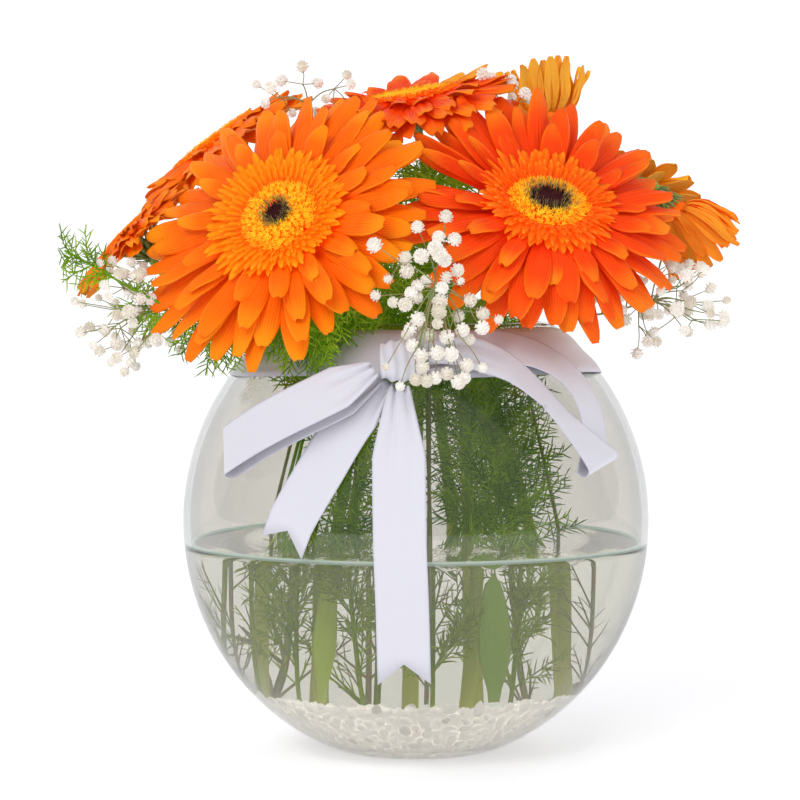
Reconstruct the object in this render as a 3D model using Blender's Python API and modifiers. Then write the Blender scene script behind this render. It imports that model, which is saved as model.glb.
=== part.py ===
"""Orange gerberas, baby's breath and asparagus fern in a round glass bowl vase.

Metres, +Z up. The origin is the centre of the bowl's flat base, on the surface it
stands on. The bow and the two largest flowers face -Y.
"""

import math
import random

import bmesh
import bpy
from mathutils import Matrix, Vector
from mathutils.bvhtree import BVHTree

# The bowl is an ellipsoid cut off flat at the foot and at the rim
BOWL_RADIUS = 0.100
BOWL_HALF_HEIGHT = 0.1043
BOWL_CENTRE_Z = 0.0976
BOWL_HEIGHT = 0.183
BOWL_STEPS = 24
WALL = 0.003
BASE_THICKNESS = 0.005

WATER_TOP = 0.0889
GRAVEL_TOP = 0.030
PEBBLE_HEIGHT = 0.0034
PEBBLE_ROWS = 11

# Pieces that touch keep this gap
GAP = 0.0003
STEM_FOOT_Z = GRAVEL_TOP + PEBBLE_HEIGHT / 2 + GAP

RIBBON_WIDTH = 0.021
RIBBON_THICKNESS = 0.0007
BAND_TOP = 0.180
BAND_BOTTOM = 0.162

HUB_RADIUS = 0.0172
HUB_BASE_RADIUS = 0.0130
HUB_DEPTH = 0.0052
DISC_RADIUS = 0.0170
DISC_SIDES = 12
EYE_RADIUS = 0.0050
CALYX_DEPTH = 0.010
GERBERA_STEM_RADIUS = 0.0027

POM_RADIUS = 0.0031
TWIG_RADIUS = 0.00045
SPRAY_STEM_RADIUS = 0.0010
FERN_STEM_RADIUS = 0.0011
FERN_TWIG_RADIUS = 0.0006
NEEDLE_RADIUS = 0.0004
NEEDLE_LENGTH = 0.0115
NEEDLE_PLACE = 0.55

# Pieces already in place, by name: each is a search tree with the corners of its box
IN_PLACE = {}


# Scene, materials and plain mesh helpers


def empty_scene():
    for obj in list(bpy.data.objects):
        bpy.data.objects.remove(obj)


def new_collection(name):
    made = bpy.data.collections.new(name)
    bpy.context.scene.collection.children.link(made)
    return made


def finish(name, colour, roughness):
    made = bpy.data.materials.new(name)
    made.use_nodes = True
    shader = made.node_tree.nodes["Principled BSDF"]
    shader.inputs["Base Color"].default_value = (*colour, 1.0)
    shader.inputs["Roughness"].default_value = roughness
    shader.inputs["Metallic"].default_value = 0.0
    return made


def add_object(name, mesh, collection, colour, roughness=0.6):
    made = bpy.data.objects.new(name, mesh)
    made.data.materials.clear()
    made.data.materials.append(finish(name, colour, roughness))
    collection.objects.link(made)
    return made


def mesh_of(name, vertices, faces):
    made = bpy.data.meshes.new(name)
    made.from_pydata([tuple(v) for v in vertices], [], faces)
    made.update()
    return made


def evaluated_mesh(obj):
    depsgraph = bpy.context.evaluated_depsgraph_get()
    depsgraph.update()
    return bpy.data.meshes.new_from_object(obj.evaluated_get(depsgraph))


def shape_of(mesh):
    """The mesh's points and faces, as plain lists."""
    points = [vertex.co.copy() for vertex in mesh.vertices]
    return points, [tuple(face.vertices) for face in mesh.polygons]


def remove_with_mesh(obj):
    data = obj.data
    bpy.data.objects.remove(obj)
    if isinstance(data, bpy.types.Mesh):
        bpy.data.meshes.remove(data)


def outward(points, faces):
    """The same closed shape with its faces pointing out."""
    volume = 0.0
    for face in faces:
        first = points[face[0]]
        for second, third in zip(face[1:-1], face[2:]):
            volume += first.dot(points[second].cross(points[third]))
    if volume < 0:
        faces = [tuple(reversed(face)) for face in faces]
    return points, faces


def loft(rings, tip=None):
    """A closed shape through rings of points, all triangles, with an optional end point."""
    sides = len(rings[0])
    points = [Vector(point) for ring in rings for point in ring]
    faces = [tuple(range(sides - 1, -1, -1))]
    for row in range(len(rings) - 1):
        for side in range(sides):
            a = row * sides + side
            b = row * sides + (side + 1) % sides
            faces += [(a, b, b + sides), (a, b + sides, a + sides)]
    last = (len(rings) - 1) * sides
    if tip is None:
        faces.append(tuple(range(last, last + sides)))
    else:
        points.append(Vector(tip))
        end = len(points) - 1
        faces += [(last + side, last + (side + 1) % sides, end) for side in range(sides)]
    return outward(points, faces)


def smooth_path(route, count):
    """Points evenly placed on a smooth curve through the route's points."""
    route = [Vector(point) for point in route]
    ends = [2 * route[0] - route[1], *route, 2 * route[-1] - route[-2]]
    fine = []
    for step in range(1, len(ends) - 2):
        before, start, stop, after = ends[step - 1:step + 3]
        for part in range(12):
            t = part / 12
            fine.append(0.5 * (2 * start + (stop - before) * t
                               + (2 * before - 5 * start + 4 * stop - after) * t * t
                               + (3 * start - before - 3 * stop + after) * t * t * t))
    fine.append(route[-1])
    lengths = [0.0]
    for start, stop in zip(fine[:-1], fine[1:]):
        lengths.append(lengths[-1] + (stop - start).length)
    path, place = [], 0
    for number in range(count):
        wanted = lengths[-1] * number / (count - 1)
        while place < len(lengths) - 2 and lengths[place + 1] < wanted:
            place += 1
        share = (wanted - lengths[place]) / (lengths[place + 1] - lengths[place])
        path.append(fine[place].lerp(fine[place + 1], min(1.0, share)))
    return path


def tube(path, radius, end_radius, resolution):
    """A round stem along the path, thinning evenly to its end, as a closed mesh."""
    curve = bpy.data.curves.new("stem", "CURVE")
    curve.dimensions = "3D"
    curve.bevel_depth = radius
    curve.bevel_resolution = resolution
    curve.use_fill_caps = True
    spline = curve.splines.new("POLY")
    spline.points.add(len(path) - 1)
    for number, point in enumerate(path):
        thinning = number / (len(path) - 1) * (1 - end_radius / radius)
        spline.points[number].co = (*point, 1.0)
        spline.points[number].radius = 1 - thinning
    holder = bpy.data.objects.new("stem", curve)
    bpy.context.scene.collection.objects.link(holder)
    made = evaluated_mesh(holder)
    bpy.data.objects.remove(holder)
    bpy.data.curves.remove(curve)
    work = bmesh.new()
    work.from_mesh(made)
    bmesh.ops.remove_doubles(work, verts=work.verts, dist=0.00002)
    bmesh.ops.triangulate(work, faces=work.faces)
    work.to_mesh(made)
    work.free()
    shape = outward(*shape_of(made))
    bpy.data.meshes.remove(made)
    return shape


def fuse(name, body, pieces, collection, colour, roughness=0.6):
    """One object: the body with every piece joined to it by one Boolean union."""
    repeats = new_collection(name + "_repeats")
    for number, piece in enumerate(pieces):
        mesh = mesh_of(f"{name}_piece_{number}", *piece)
        repeats.objects.link(bpy.data.objects.new(mesh.name, mesh))
    joined = add_object(name, mesh_of(name, *body), collection, colour, roughness)
    if pieces:
        union = joined.modifiers.new("repeats", "BOOLEAN")
        union.operand_type = "COLLECTION"
        union.collection = repeats
        union.operation = "UNION"
        union.solver = "MANIFOLD"
        mesh = evaluated_mesh(joined)
        joined.modifiers.clear()
        joined.data = mesh
        mesh.name = name
    for piece in list(repeats.objects):
        remove_with_mesh(piece)
    bpy.data.collections.remove(repeats)
    note_in_place(joined)


# Keeping pieces clear of each other


def box_of(points):
    low = [min(point[axis] for point in points) for axis in range(3)]
    high = [max(point[axis] for point in points) for axis in range(3)]
    return low, high


def note_shape(name, points, faces):
    IN_PLACE[name] = (BVHTree.FromPolygons(points, faces), *box_of(points))


def note_in_place(obj):
    mesh = evaluated_mesh(obj)
    points, faces = shape_of(mesh)
    bpy.data.meshes.remove(mesh)
    note_shape(obj.name, [obj.matrix_world @ point for point in points], faces)


def boxes_meet(low, high, other_low, other_high):
    return all(low[a] <= other_high[a] and high[a] >= other_low[a] for a in range(3))


def lies_inside(tree, point):
    """True where a ray from the point crosses the tree's surface an odd number of times."""
    start, crossings = Vector(point), 0
    direction = Vector((0.31, 0.17, 0.935)).normalized()
    while crossings < 60:
        hit = tree.ray_cast(start, direction)[0]
        if hit is None:
            break
        crossings += 1
        start = hit + direction * 0.00001
    return crossings % 2 == 1


def is_clear(shape, own):
    """True where the shape keeps off everything in place but the piece that it belongs to."""
    points, faces = shape
    low, high = box_of(points)
    tree = BVHTree.FromPolygons(points, faces)
    for name, (other, other_low, other_high) in IN_PLACE.items():
        if name == own or not boxes_meet(low, high, other_low, other_high):
            continue
        if tree.overlap(other) or lies_inside(other, points[0]):
            return False
    return True


# Glass bowl, water and gravel


def bowl_radius(z, inset=0.0):
    reach = (z - BOWL_CENTRE_Z) / (BOWL_HALF_HEIGHT - inset)
    return (BOWL_RADIUS - inset) * math.sqrt(1 - reach * reach)


def wall_heights(bottom, top, inset, count):
    """Heights at even angles round the ellipse, from the bottom to the top."""
    half = BOWL_HALF_HEIGHT - inset
    first = math.asin((bottom - BOWL_CENTRE_Z) / half)
    last = math.asin((top - BOWL_CENTRE_Z) / half)
    angles = [first + (last - first) * step / (count - 1) for step in range(count)]
    return [BOWL_CENTRE_Z + half * math.sin(angle) for angle in angles]


INNER_HEIGHTS = wall_heights(BASE_THICKNESS, BOWL_HEIGHT, WALL, 11)


def inner_radius(z):
    """Radius of the faceted inner wall at a height."""
    for low, high in zip(INNER_HEIGHTS[:-1], INNER_HEIGHTS[1:]):
        if z <= high:
            share = (z - low) / (high - low)
            start, stop = bowl_radius(low, WALL), bowl_radius(high, WALL)
            return start + (stop - start) * share
    return bowl_radius(BOWL_HEIGHT, WALL)


def turned(name, profile, collection, colour, roughness, on_axis=True):
    """A solid turned about the Z axis from a profile of (radius, height) points."""
    points = [(radius, 0.0, height) for radius, height in profile]
    edges = [(step, step + 1) for step in range(len(points) - 1)]
    if not on_axis:
        edges.append((len(points) - 1, 0))
    mesh = bpy.data.meshes.new(name)
    mesh.from_pydata(points, edges, [])
    made = add_object(name, mesh, collection, colour, roughness)
    screw = made.modifiers.new("turn", "SCREW")
    screw.steps = screw.render_steps = BOWL_STEPS
    screw.use_merge_vertices = True
    screw.merge_threshold = 0.00005
    screw.use_smooth_shade = True
    return made


def build_bowl(collection):
    outer = [(bowl_radius(z), z) for z in reversed(wall_heights(0.0, BOWL_HEIGHT, 0.0, 10))]
    inner = [(bowl_radius(z, WALL), z) for z in INNER_HEIGHTS]
    profile = [(0.0, BASE_THICKNESS), *inner, *outer, (0.0, 0.0)]
    bowl = turned("glass_bowl", profile, collection, (0.86, 0.90, 0.89), 0.03)
    note_in_place(bowl)


def wall_profile(bottom, top):
    """Points just inside the faceted wall, from the top down to the bottom."""
    inside = [z for z in INNER_HEIGHTS if bottom < z < top]
    side_gap = 1.5 * GAP
    return [(inner_radius(z) - side_gap, z) for z in (top, *reversed(inside), bottom)]


def build_water(collection, holes):
    bottom = GRAVEL_TOP + PEBBLE_HEIGHT / 2 + GAP
    profile = [(0.0, WATER_TOP), *wall_profile(bottom, WATER_TOP), (0.0, bottom)]
    water = turned("water", profile, collection, (0.85, 0.92, 0.90), 0.02)
    hole = water.modifiers.new("stem_holes", "BOOLEAN")
    hole.operand_type = "COLLECTION"
    hole.collection = holes
    hole.operation = "DIFFERENCE"
    hole.solver = "EXACT"


def pebble_relief(x, y):
    """Height of the gravel's coarse bumps at a place."""
    across = math.sin(690 * x + 1.3 * math.sin(410 * y)) * math.cos(640 * y + 0.7)
    return PEBBLE_HEIGHT / 2 * across


def build_gravel(collection):
    edge = inner_radius(GRAVEL_TOP) - 1.5 * GAP
    rows = [(edge * row / PEBBLE_ROWS, GRAVEL_TOP) for row in range(PEBBLE_ROWS)]
    floor = BASE_THICKNESS + GAP
    profile = [*rows, *wall_profile(floor, GRAVEL_TOP), (0.0, floor)]
    gravel = turned("gravel", profile, collection, (0.86, 0.83, 0.80), 0.8)
    mesh = evaluated_mesh(gravel)
    gravel.modifiers.clear()
    gravel.data = mesh
    for vertex in mesh.vertices:
        x, y, z = vertex.co
        if z > GRAVEL_TOP - 0.0001 and math.hypot(x, y) < 0.99 * edge:
            vertex.co.z = z + pebble_relief(x, y)


# Ribbon: a band round the neck, and a bow of two loops and two tails


def on_front(x, z, lift):
    """A point over the front of the bowl, and the direction straight out of the glass there.

    Below the widest line the ribbon hangs plumb."""
    height = max(z, BOWL_CENTRE_Z)
    radius = bowl_radius(height)
    y = -math.sqrt(radius * radius - x * x)
    out = Vector((x / BOWL_RADIUS ** 2, y / BOWL_RADIUS ** 2,
                  (height - BOWL_CENTRE_Z) / BOWL_HALF_HEIGHT ** 2)).normalized()
    return Vector((x, y, z)) + out * lift, out


def push_out(point, lift):
    """Moves a point out until it is the lift away from the glass."""
    height = max(point.z, BOWL_CENTRE_Z)
    radius = bowl_radius(height)
    flat = math.hypot(point.x, point.y)
    slope = Vector((flat / BOWL_RADIUS ** 2, (height - BOWL_CENTRE_Z) / BOWL_HALF_HEIGHT ** 2))
    steepness = slope.x / slope.length
    need = (radius - flat) * steepness + lift
    if need > 0:
        out = Vector((point.x / flat * slope.x, point.y / flat * slope.x, slope.y)).normalized()
        point = point + out * need
    return point


def along(route, share):
    """The place at a share of a route of points, and its direction."""
    route = [Vector(point) for point in route]
    path = smooth_path([(*point, 0.0) for point in route], 33)
    number = min(31, int(share * 32))
    place = path[number].lerp(path[number + 1], share * 32 - number)
    return place.to_2d(), (path[number + 1] - path[number]).to_2d().normalized()


def ribbon_row(route, share, lift, width, columns, least_lift, ahead=0.0, lean=0.0, aside=0.0):
    """One row of points across the ribbon at a share of its route.

    lean turns it about the route, and aside moves it sideways over the glass."""
    place, heading = along(route, share)
    centre, out = on_front(place.x, place.y, lift)
    forward = on_front(place.x + heading.x * 0.002, place.y + heading.y * 0.002, lift)[0]
    forward = (forward - centre).normalized()
    level = forward.cross(out).normalized()
    across = level * math.cos(lean) + out * math.sin(lean)
    centre = centre + level * aside + forward * ahead
    row = []
    for column in range(columns):
        side = (column / (columns - 1) - 0.5) * width
        row.append(push_out(centre + across * side, least_lift))
    return row


def ribbon_sheet(name, rows, collection):
    """A strip through the rows, given the ribbon's thickness."""
    columns = len(rows[0])
    points = [point for row in rows for point in row]
    faces = []
    for row in range(len(rows) - 1):
        for column in range(columns - 1):
            a = row * columns + column
            faces += [(a, a + 1, a + columns + 1), (a, a + columns + 1, a + columns)]
    sheet = add_object(name, mesh_of(name, points, faces), collection, (0.93, 0.92, 0.95), 0.35)
    thick = sheet.modifiers.new("thickness", "SOLIDIFY")
    thick.thickness = RIBBON_THICKNESS
    thick.offset = 0.0
    note_in_place(sheet)


def gathered_width(share):
    """The ribbon is pinched at the knot and opens out to its full width."""
    return RIBBON_WIDTH * min(1.0, 0.42 + 2.6 * share)


def build_band(collection):
    heights = [BAND_TOP + (BAND_BOTTOM - BAND_TOP) * step / 3 for step in range(4)]
    lift = GAP + RIBBON_THICKNESS
    profile = [(bowl_radius(z) + lift, z) for z in heights]
    band = turned("ribbon_band", profile, collection, (0.90, 0.89, 0.92), 0.35)
    thick = band.modifiers.new("thickness", "SOLIDIFY")
    thick.thickness = RIBBON_THICKNESS
    thick.offset = 0.0
    note_in_place(band)


FOLD_RADIUS = 0.0030
KNOT_PLACE = (-0.0055, 0.1645)
KNOT_SIZE = (0.0170, 0.0200, 0.0100)


def build_knot(collection):
    mesh = bpy.data.meshes.new("ribbon_knot")
    work = bmesh.new()
    bmesh.ops.create_cube(work, size=1.0)
    bmesh.ops.scale(work, vec=KNOT_SIZE, verts=work.verts)
    work.to_mesh(mesh)
    work.free()
    knot = add_object("ribbon_knot", mesh, collection, (0.93, 0.92, 0.95), 0.35)
    crease = knot.modifiers.new("edges", "BEVEL")
    crease.width = 0.0022
    crease.segments = 2
    lift = 2 * GAP + 2 * RIBBON_THICKNESS + KNOT_SIZE[2] / 2
    centre, out = on_front(*KNOT_PLACE, lift)
    side = Vector((1, 0, 0))
    up = out.cross(side).normalized()
    side = up.cross(out)
    turn = Matrix((side, up, out)).transposed().to_4x4()
    knot.matrix_world = Matrix.Translation(centre) @ turn
    bpy.context.view_layer.update()
    note_in_place(knot)


def loop_row(route, share, layer, opening, tilt, ahead=0.0, least_lift=0.0016):
    """One row of a loop. layer is 1 on its front, -1 on its back and between at its fold."""
    swell = math.sin(math.pi * share ** 1.6)
    lift = 0.0022 + 0.0014 * (1 - share) + FOLD_RADIUS * (1 + layer) + 0.0025 * swell
    lean = math.radians(tilt) * swell * (1 + 0.18 * layer)
    return ribbon_row(route, share, lift, gathered_width(share), 4, least_lift, ahead, lean,
                      opening / 2 * swell * layer)


def build_loop(name, route, opening, tilt, collection):
    """A loop: out along the front layer, round the fold and back nearer the glass."""
    shares = [0.0, 0.14, 0.3, 0.5, 0.72, 0.9, 1.0]
    rows = [loop_row(route, share, 1.0, opening, tilt) for share in shares]
    for turn in (40, 90, 140):
        angle = math.radians(turn)
        rows.append(loop_row(route, 1.0, math.cos(angle), opening, tilt,
                             FOLD_RADIUS * math.sin(angle), 0.0008))
    rows += [loop_row(route, share, -1.0, opening, tilt) for share in reversed(shares[:-1])]
    ribbon_sheet(name, rows, collection)


def build_tail(name, route, lifts, notch, collection):
    """A hanging end, cut with a swallow-tail notch."""
    shares = [0.0, 0.08, 0.18, 0.32, 0.48, 0.64, 0.8, 0.9]
    rows = []
    for share in shares:
        lift = lifts[0] + (lifts[1] - lifts[0]) * share
        rows.append(ribbon_row(route, share, lift, gathered_width(share), 5, GAP + RIBBON_THICKNESS))
    end = ribbon_row(route, 0.999, lifts[1], RIBBON_WIDTH, 5, GAP + RIBBON_THICKNESS)
    inner = ribbon_row(route, 0.999, lifts[1], RIBBON_WIDTH, 5, GAP + RIBBON_THICKNESS, -notch)
    depth = (0.0, 0.5, 1.0, 0.5, 0.0)
    rows.append([a.lerp(b, share) for a, b, share in zip(end, inner, depth)])
    ribbon_sheet(name, rows, collection)


def build_ribbon(collection):
    build_band(collection)
    build_knot(collection)
    left_loop = [(-0.0152, 0.1600), (-0.030, 0.1520), (-0.050, 0.1413), (-0.0708, 0.1300)]
    right_loop = [(0.0038, 0.1650), (0.0158, 0.1672), (0.028, 0.1665), (0.0394, 0.1628),
                  (0.0516, 0.1545), (0.0606, 0.1435), (0.0662, 0.1335), (0.0693, 0.1263)]
    build_loop("ribbon_loop_left", left_loop, 0.0, 0, collection)
    build_loop("ribbon_loop_right", right_loop, 0.0270, 21, collection)
    left_tail = [(-0.0120, 0.1600), (-0.0265, 0.1427), (-0.0373, 0.1253), (-0.0482, 0.1056),
                 (-0.0525, 0.0945)]
    middle_tail = [(-0.0066, 0.1562), (-0.0065, 0.1280), (-0.0062, 0.0976), (-0.0052, 0.0700),
                   (-0.0045, 0.0420)]
    build_tail("ribbon_tail_left", left_tail, (0.0012, 0.0016), 0.0075, collection)
    build_tail("ribbon_tail_middle", middle_tail, (0.0034, 0.0014), 0.0080, collection)


# Gerberas


# Ray petals by row: share of the reach, half widths, keel depth, root height, lift
OUTER_ROW = {"reach": 0.97, "widths": (0.0022, 0.0066, 0.0052), "depth": 0.0012,
             "root": -0.0018, "lift": 3}
UNDER_ROW = {"reach": 1.0, "widths": (0.0022, 0.0066, 0.0050), "depth": 0.0012,
             "root": -0.0036, "lift": -6}
INNER_ROW = {"reach": 0.53, "root": 0.0, "lift": 14}
RAY_ROOT = 0.0115
BEND_TRIES = (0, 5, -5, 10, -10, 16, -16, 24, -24, 34, -34, 46)


class Bloom:
    """Where one flower head sits, which way it faces and how its petals hang.

    droop is the mean angle of the petals below the flower's own plane, sag is how much
    more the lowest ones hang and the highest ones rise, opened is the size of the middle,
    less on a young flower, foot is where the stem stands on the gravel, and hang is the
    angle, in degrees, of the petals that hang most."""

    def __init__(self, name, centre, facing, reach, droop, sag, rays, colour, neck, foot,
                 opened=1.0, hang=0):
        self.name = name
        self.centre = Vector(centre)
        self.facing = Vector(facing).normalized()
        self.reach = reach
        self.droop = droop
        self.sag = sag
        self.rays = rays
        self.colour = colour
        self.neck = neck
        self.foot = foot
        self.opened = opened
        self.hang = math.radians(hang)
        self.root = RAY_ROOT * opened
        # A half closed flower shows almost none of its inner petals
        self.star = 0.72 if droop > -30 else 0.12
        down = Vector((0, 0, -1)) + self.facing.z * self.facing
        self.down = down.normalized()
        self.side = self.facing.cross(self.down)

    def place(self, out, angle, height):
        """A world point, from a distance and an angle in the flower's plane, and a height."""
        flat = self.down * math.cos(angle) + self.side * math.sin(angle)
        return self.centre + flat * out + self.facing * height


ORANGE = (0.95, 0.30, 0.01)
RED_ORANGE = (0.93, 0.16, 0.01)

BLOOMS = [
    Bloom("a", (-0.055, -0.055, 0.226), (-0.36, -0.79, 0.50), 0.070, 4, 6, 12,
          ORANGE, (-0.022, -0.024), (-0.034, -0.030), 1.0, 225),
    Bloom("b", (0.054, -0.050, 0.231), (0.17, -0.588, 0.79), 0.0640, 2, 22, 12,
          RED_ORANGE, (0.022, -0.024), (0.018, -0.034)),
    Bloom("c", (-0.002, 0.004, 0.2795), (-0.17, -0.12, 0.98), 0.052, -4, 12, 10,
          RED_ORANGE, (0.002, 0.002), (-0.002, 0.004), 1.0, 55),
    Bloom("d", (0.059, 0.058, 0.277), (-0.10, 0.20, 0.97), 0.035, -80, 4, 6,
          ORANGE, (0.012, 0.030), (0.016, 0.040), 0.58),
    Bloom("f", (0.0885, 0.040, 0.2405), (0.15, 0.34, 0.93), 0.046, -5, 8, 9,
          ORANGE, (0.028, 0.016), (0.044, 0.022)),
    Bloom("g", (0.1125, 0.002, 0.228), (0.64, 0.10, -0.70), 0.037, -82, 4, 6,
          ORANGE, (0.032, -0.004), (0.050, -0.008), 0.55),
    Bloom("h", (-0.0894, 0.048, 0.2629), (-0.58, -0.06, 0.79), 0.050, 0, 8, 10,
          RED_ORANGE, (-0.020, 0.022), (-0.028, 0.030), 1.0, 90),
    Bloom("i", (-0.1236, 0.008, 0.2218), (-0.70, -0.03, 0.70), 0.038, 0, 6, 9,
          RED_ORANGE, (-0.032, 0.004), (-0.050, 0.006), 0.80, 90),
]


def petal_path(bloom, angle, row, bend, stations):
    """Stations along a petal: each is a point and the direction that its face looks in."""
    droop = bloom.droop + bloom.sag * math.cos(angle - bloom.hang) - row["lift"] + bend
    length = bloom.reach * row["reach"] - bloom.root
    wanted = [0.0, 0.58, 0.92, 1.0] if stations == 4 else [0.0, 0.60, 1.0]
    out, height, path = bloom.root, row["root"], []
    steps = 24
    for step in range(steps + 1):
        share = step / steps
        slope = math.radians(-droop * min(1.0, 0.25 + share / 0.35) - 9 * share * share)
        while len(path) < len(wanted) and wanted[len(path)] <= share + 1e-6:
            face = bloom.place(-math.sin(slope), angle, math.cos(slope)) - bloom.centre
            path.append((bloom.place(out, angle, height), face))
        out += math.cos(slope) * length / steps
        height += math.sin(slope) * length / steps
    return path


def petal(bloom, angle, row, bend, grow=0.0):
    stations = len(row["widths"]) + 1
    path = petal_path(bloom, angle, row, bend, stations)
    side = bloom.place(1.0, angle + math.pi / 2, 0.0) - bloom.centre
    rings = []
    for (point, face), width in zip(path, row["widths"]):
        top = point + face * grow
        rings.append([top - side * (width + grow), top + side * (width + grow),
                      point - face * (row["depth"] + grow)])
    tip, face = path[-1]
    forward = (tip - path[-2][0]).normalized()
    return loft(rings, tip + forward * grow - face * 0.0003)


def bent_clear(bloom, angle, row):
    """The petal with the least extra bend that keeps it clear of what is in place."""
    for bend in BEND_TRIES:
        if is_clear(petal(bloom, angle, row, bend, GAP), ""):
            return petal(bloom, angle, row, bend)
    return None


def flower_cone(bloom, top, bottom, top_radius, bottom_radius, sides):
    """A short cone on the flower's axis, between two heights."""
    rings = []
    for height, radius in ((top, top_radius), (bottom, bottom_radius)):
        angles = [math.tau * side / sides for side in range(sides)]
        rings.append([bloom.place(radius, angle, height) for angle in angles])
    return loft(rings)


def flower_hub(bloom):
    """The receptacle, with the short inner petals standing out of its rim as a star."""
    corners = 2 * bloom.rays
    rim, star, under, base = [], [], [], []
    for corner in range(corners):
        angle = math.tau * (corner + 0.5) / corners
        path = petal_path(bloom, angle, INNER_ROW, 0, 3)
        edge = bloom.place(HUB_RADIUS * bloom.opened, angle, 0.0)
        tip = edge + (path[-1][0] - path[0][0]) * bloom.star
        rim.append(edge)
        star.append(tip if corner % 2 else edge.lerp(tip, 0.22))
        under.append(bloom.place(HUB_RADIUS * bloom.opened - 0.0006, angle, -0.0010))
        base.append(bloom.place(HUB_BASE_RADIUS * bloom.opened, angle, -HUB_DEPTH))
    return loft([rim, star, under, base])


def build_rays(bloom, collection):
    hub = flower_hub(bloom)
    petals = []
    spread = random.Random("rays " + bloom.name)
    for row, offset in ((OUTER_ROW, 0.0), (UNDER_ROW, 0.5)):
        for number in range(bloom.rays):
            angle = math.tau * (number + offset + spread.uniform(-0.06, 0.06)) / bloom.rays
            petals.append(bent_clear(bloom, angle, row))
    petals = [shape for shape in petals if shape]
    fuse(f"gerbera_{bloom.name}_rays", hub, petals, collection, bloom.colour, 0.55)


def build_disc(bloom, collection):
    """The ring of florets, with a bump at every other corner, round the eye."""
    size = bloom.opened ** 2
    inner = EYE_RADIUS * size + 2 * GAP
    section = [(inner, GAP), (inner, 0.0022), (0.0100 * size, 0.0034),
               (0.0148 * size, 0.0028), (DISC_RADIUS * size, GAP)]
    bumps = (0.0, 0.0003, 0.0006, 0.0006, 0.0)
    rings = []
    for side in range(DISC_SIDES):
        angle = math.tau * side / DISC_SIDES
        ring = []
        for number, (radius, height) in enumerate(section):
            sign = 1 if (side + number) % 2 else -1
            ring.append(bloom.place(radius, angle, height + sign * bumps[number]))
        rings.append(ring)
    corners = len(section)
    points = [point for ring in rings for point in ring]
    faces = []
    for side in range(DISC_SIDES):
        for corner in range(corners):
            a = side * corners + corner
            b = side * corners + (corner + 1) % corners
            c = ((side + 1) % DISC_SIDES) * corners + (corner + 1) % corners
            d = ((side + 1) % DISC_SIDES) * corners + corner
            faces += [(a, b, c), (a, c, d)]
    mesh = mesh_of("disc", *outward(points, faces))
    made = add_object(f"gerbera_{bloom.name}_disc", mesh, collection, (0.93, 0.60, 0.03), 0.75)
    note_in_place(made)


def build_eye(bloom, collection):
    rings = []
    for share, height in ((1.0, GAP), (0.98, 0.0018), (0.6, 0.0030)):
        angles = [math.tau * side / 8 for side in range(8)]
        radius = EYE_RADIUS * bloom.opened ** 2 * share
        rings.append([bloom.place(radius, angle, height) for angle in angles])
    mesh = mesh_of("eye", *loft(rings, bloom.place(0.0, 0.0, 0.0024)))
    made = add_object(f"gerbera_{bloom.name}_eye", mesh, collection, (0.10, 0.04, 0.05), 0.9)
    note_in_place(made)


def standing_path(foot, route, count):
    """A stem: straight up through the water, then on a smooth curve through the route."""
    foot = Vector((*foot, STEM_FOOT_Z))
    first = Vector(route[0])
    share = (WATER_TOP + 0.006 - foot.z) / (first.z - foot.z)
    outward_bow = Vector((foot.x, foot.y, 0)) * 0.12
    bend = foot.lerp(first, share) + outward_bow
    return [foot, *smooth_path([bend, *route], count)]


def stem_path(bloom):
    top = bloom.place(0.0, 0.0, -HUB_DEPTH - GAP - CALYX_DEPTH * 0.6)
    behind = bloom.place(0.0, 0.0, -0.036 * bloom.opened)
    neck = Vector((*bloom.neck, 0.180))
    return standing_path(bloom.foot, [neck, behind, top], 7 if bloom.facing.z > 0 else 10)


def build_stem(bloom, collection, holes):
    path = stem_path(bloom)
    stem = tube(path, GERBERA_STEM_RADIUS, 0.0021, 1)
    top = -HUB_DEPTH - GAP
    calyx = flower_cone(bloom, top, top - CALYX_DEPTH, 0.0092 * bloom.opened, 0.0030, 10)
    fuse(f"gerbera_{bloom.name}_stem", stem, [calyx], collection, (0.20, 0.34, 0.08), 0.6)
    add_hole(path, GERBERA_STEM_RADIUS, 0.0021, 1, holes)


def add_hole(path, radius, end_radius, resolution, holes):
    """A cutter a little thicker than a stem, for its hole in the water."""
    longer = [path[0] - (path[1] - path[0]).normalized() * 4 * GAP, *path[1:]]
    clearance = 1.3 * GAP
    grown = tube(longer, radius + clearance, end_radius + clearance, resolution)
    cutter = bpy.data.objects.new("stem_hole", mesh_of("stem_hole", *grown))
    cutter.hide_render = True
    cutter.display_type = "WIRE"
    holes.objects.link(cutter)


# Greenery


def side_direction(tangent, turn):
    """A direction square to the tangent, turned about it."""
    helper = Vector((0, 0, 1)) if abs(tangent.z) < 0.9 else Vector((1, 0, 0))
    first = tangent.cross(helper).normalized()
    second = tangent.cross(first)
    return first * math.cos(turn) + second * math.sin(turn)


def spike(start, stop, radius, grow=0.0):
    """A three-sided needle from its root to its point."""
    heading = (stop - start).normalized()
    ring = []
    for corner in range(3):
        out = side_direction(heading, math.tau * corner / 3)
        ring.append(start + out * (radius + grow))
    return loft([ring], stop + heading * grow)


def twig(start, stop, radius, end_radius, grow=0.0):
    heading = (stop - start).normalized()
    rings = []
    for point, size in ((start, radius), (stop, end_radius)):
        corners = [side_direction(heading, math.tau * corner / 3) for corner in range(3)]
        rings.append([point + out * (size + grow) for out in corners])
    return loft(rings)


def pom(centre, radius, tilt):
    """A small double flower, as a faceted ball."""
    ring = []
    for corner in range(4):
        angle = math.tau * corner / 4 + tilt
        ring.append(centre + Vector((math.cos(angle), math.sin(angle), 0)) * radius)
    points = [*ring, centre + Vector((0, 0, radius)), centre - Vector((0, 0, radius))]
    faces = []
    for corner in range(4):
        after = (corner + 1) % 4
        faces += [(corner, after, 4), (after, corner, 5)]
    return outward(points, faces)


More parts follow.
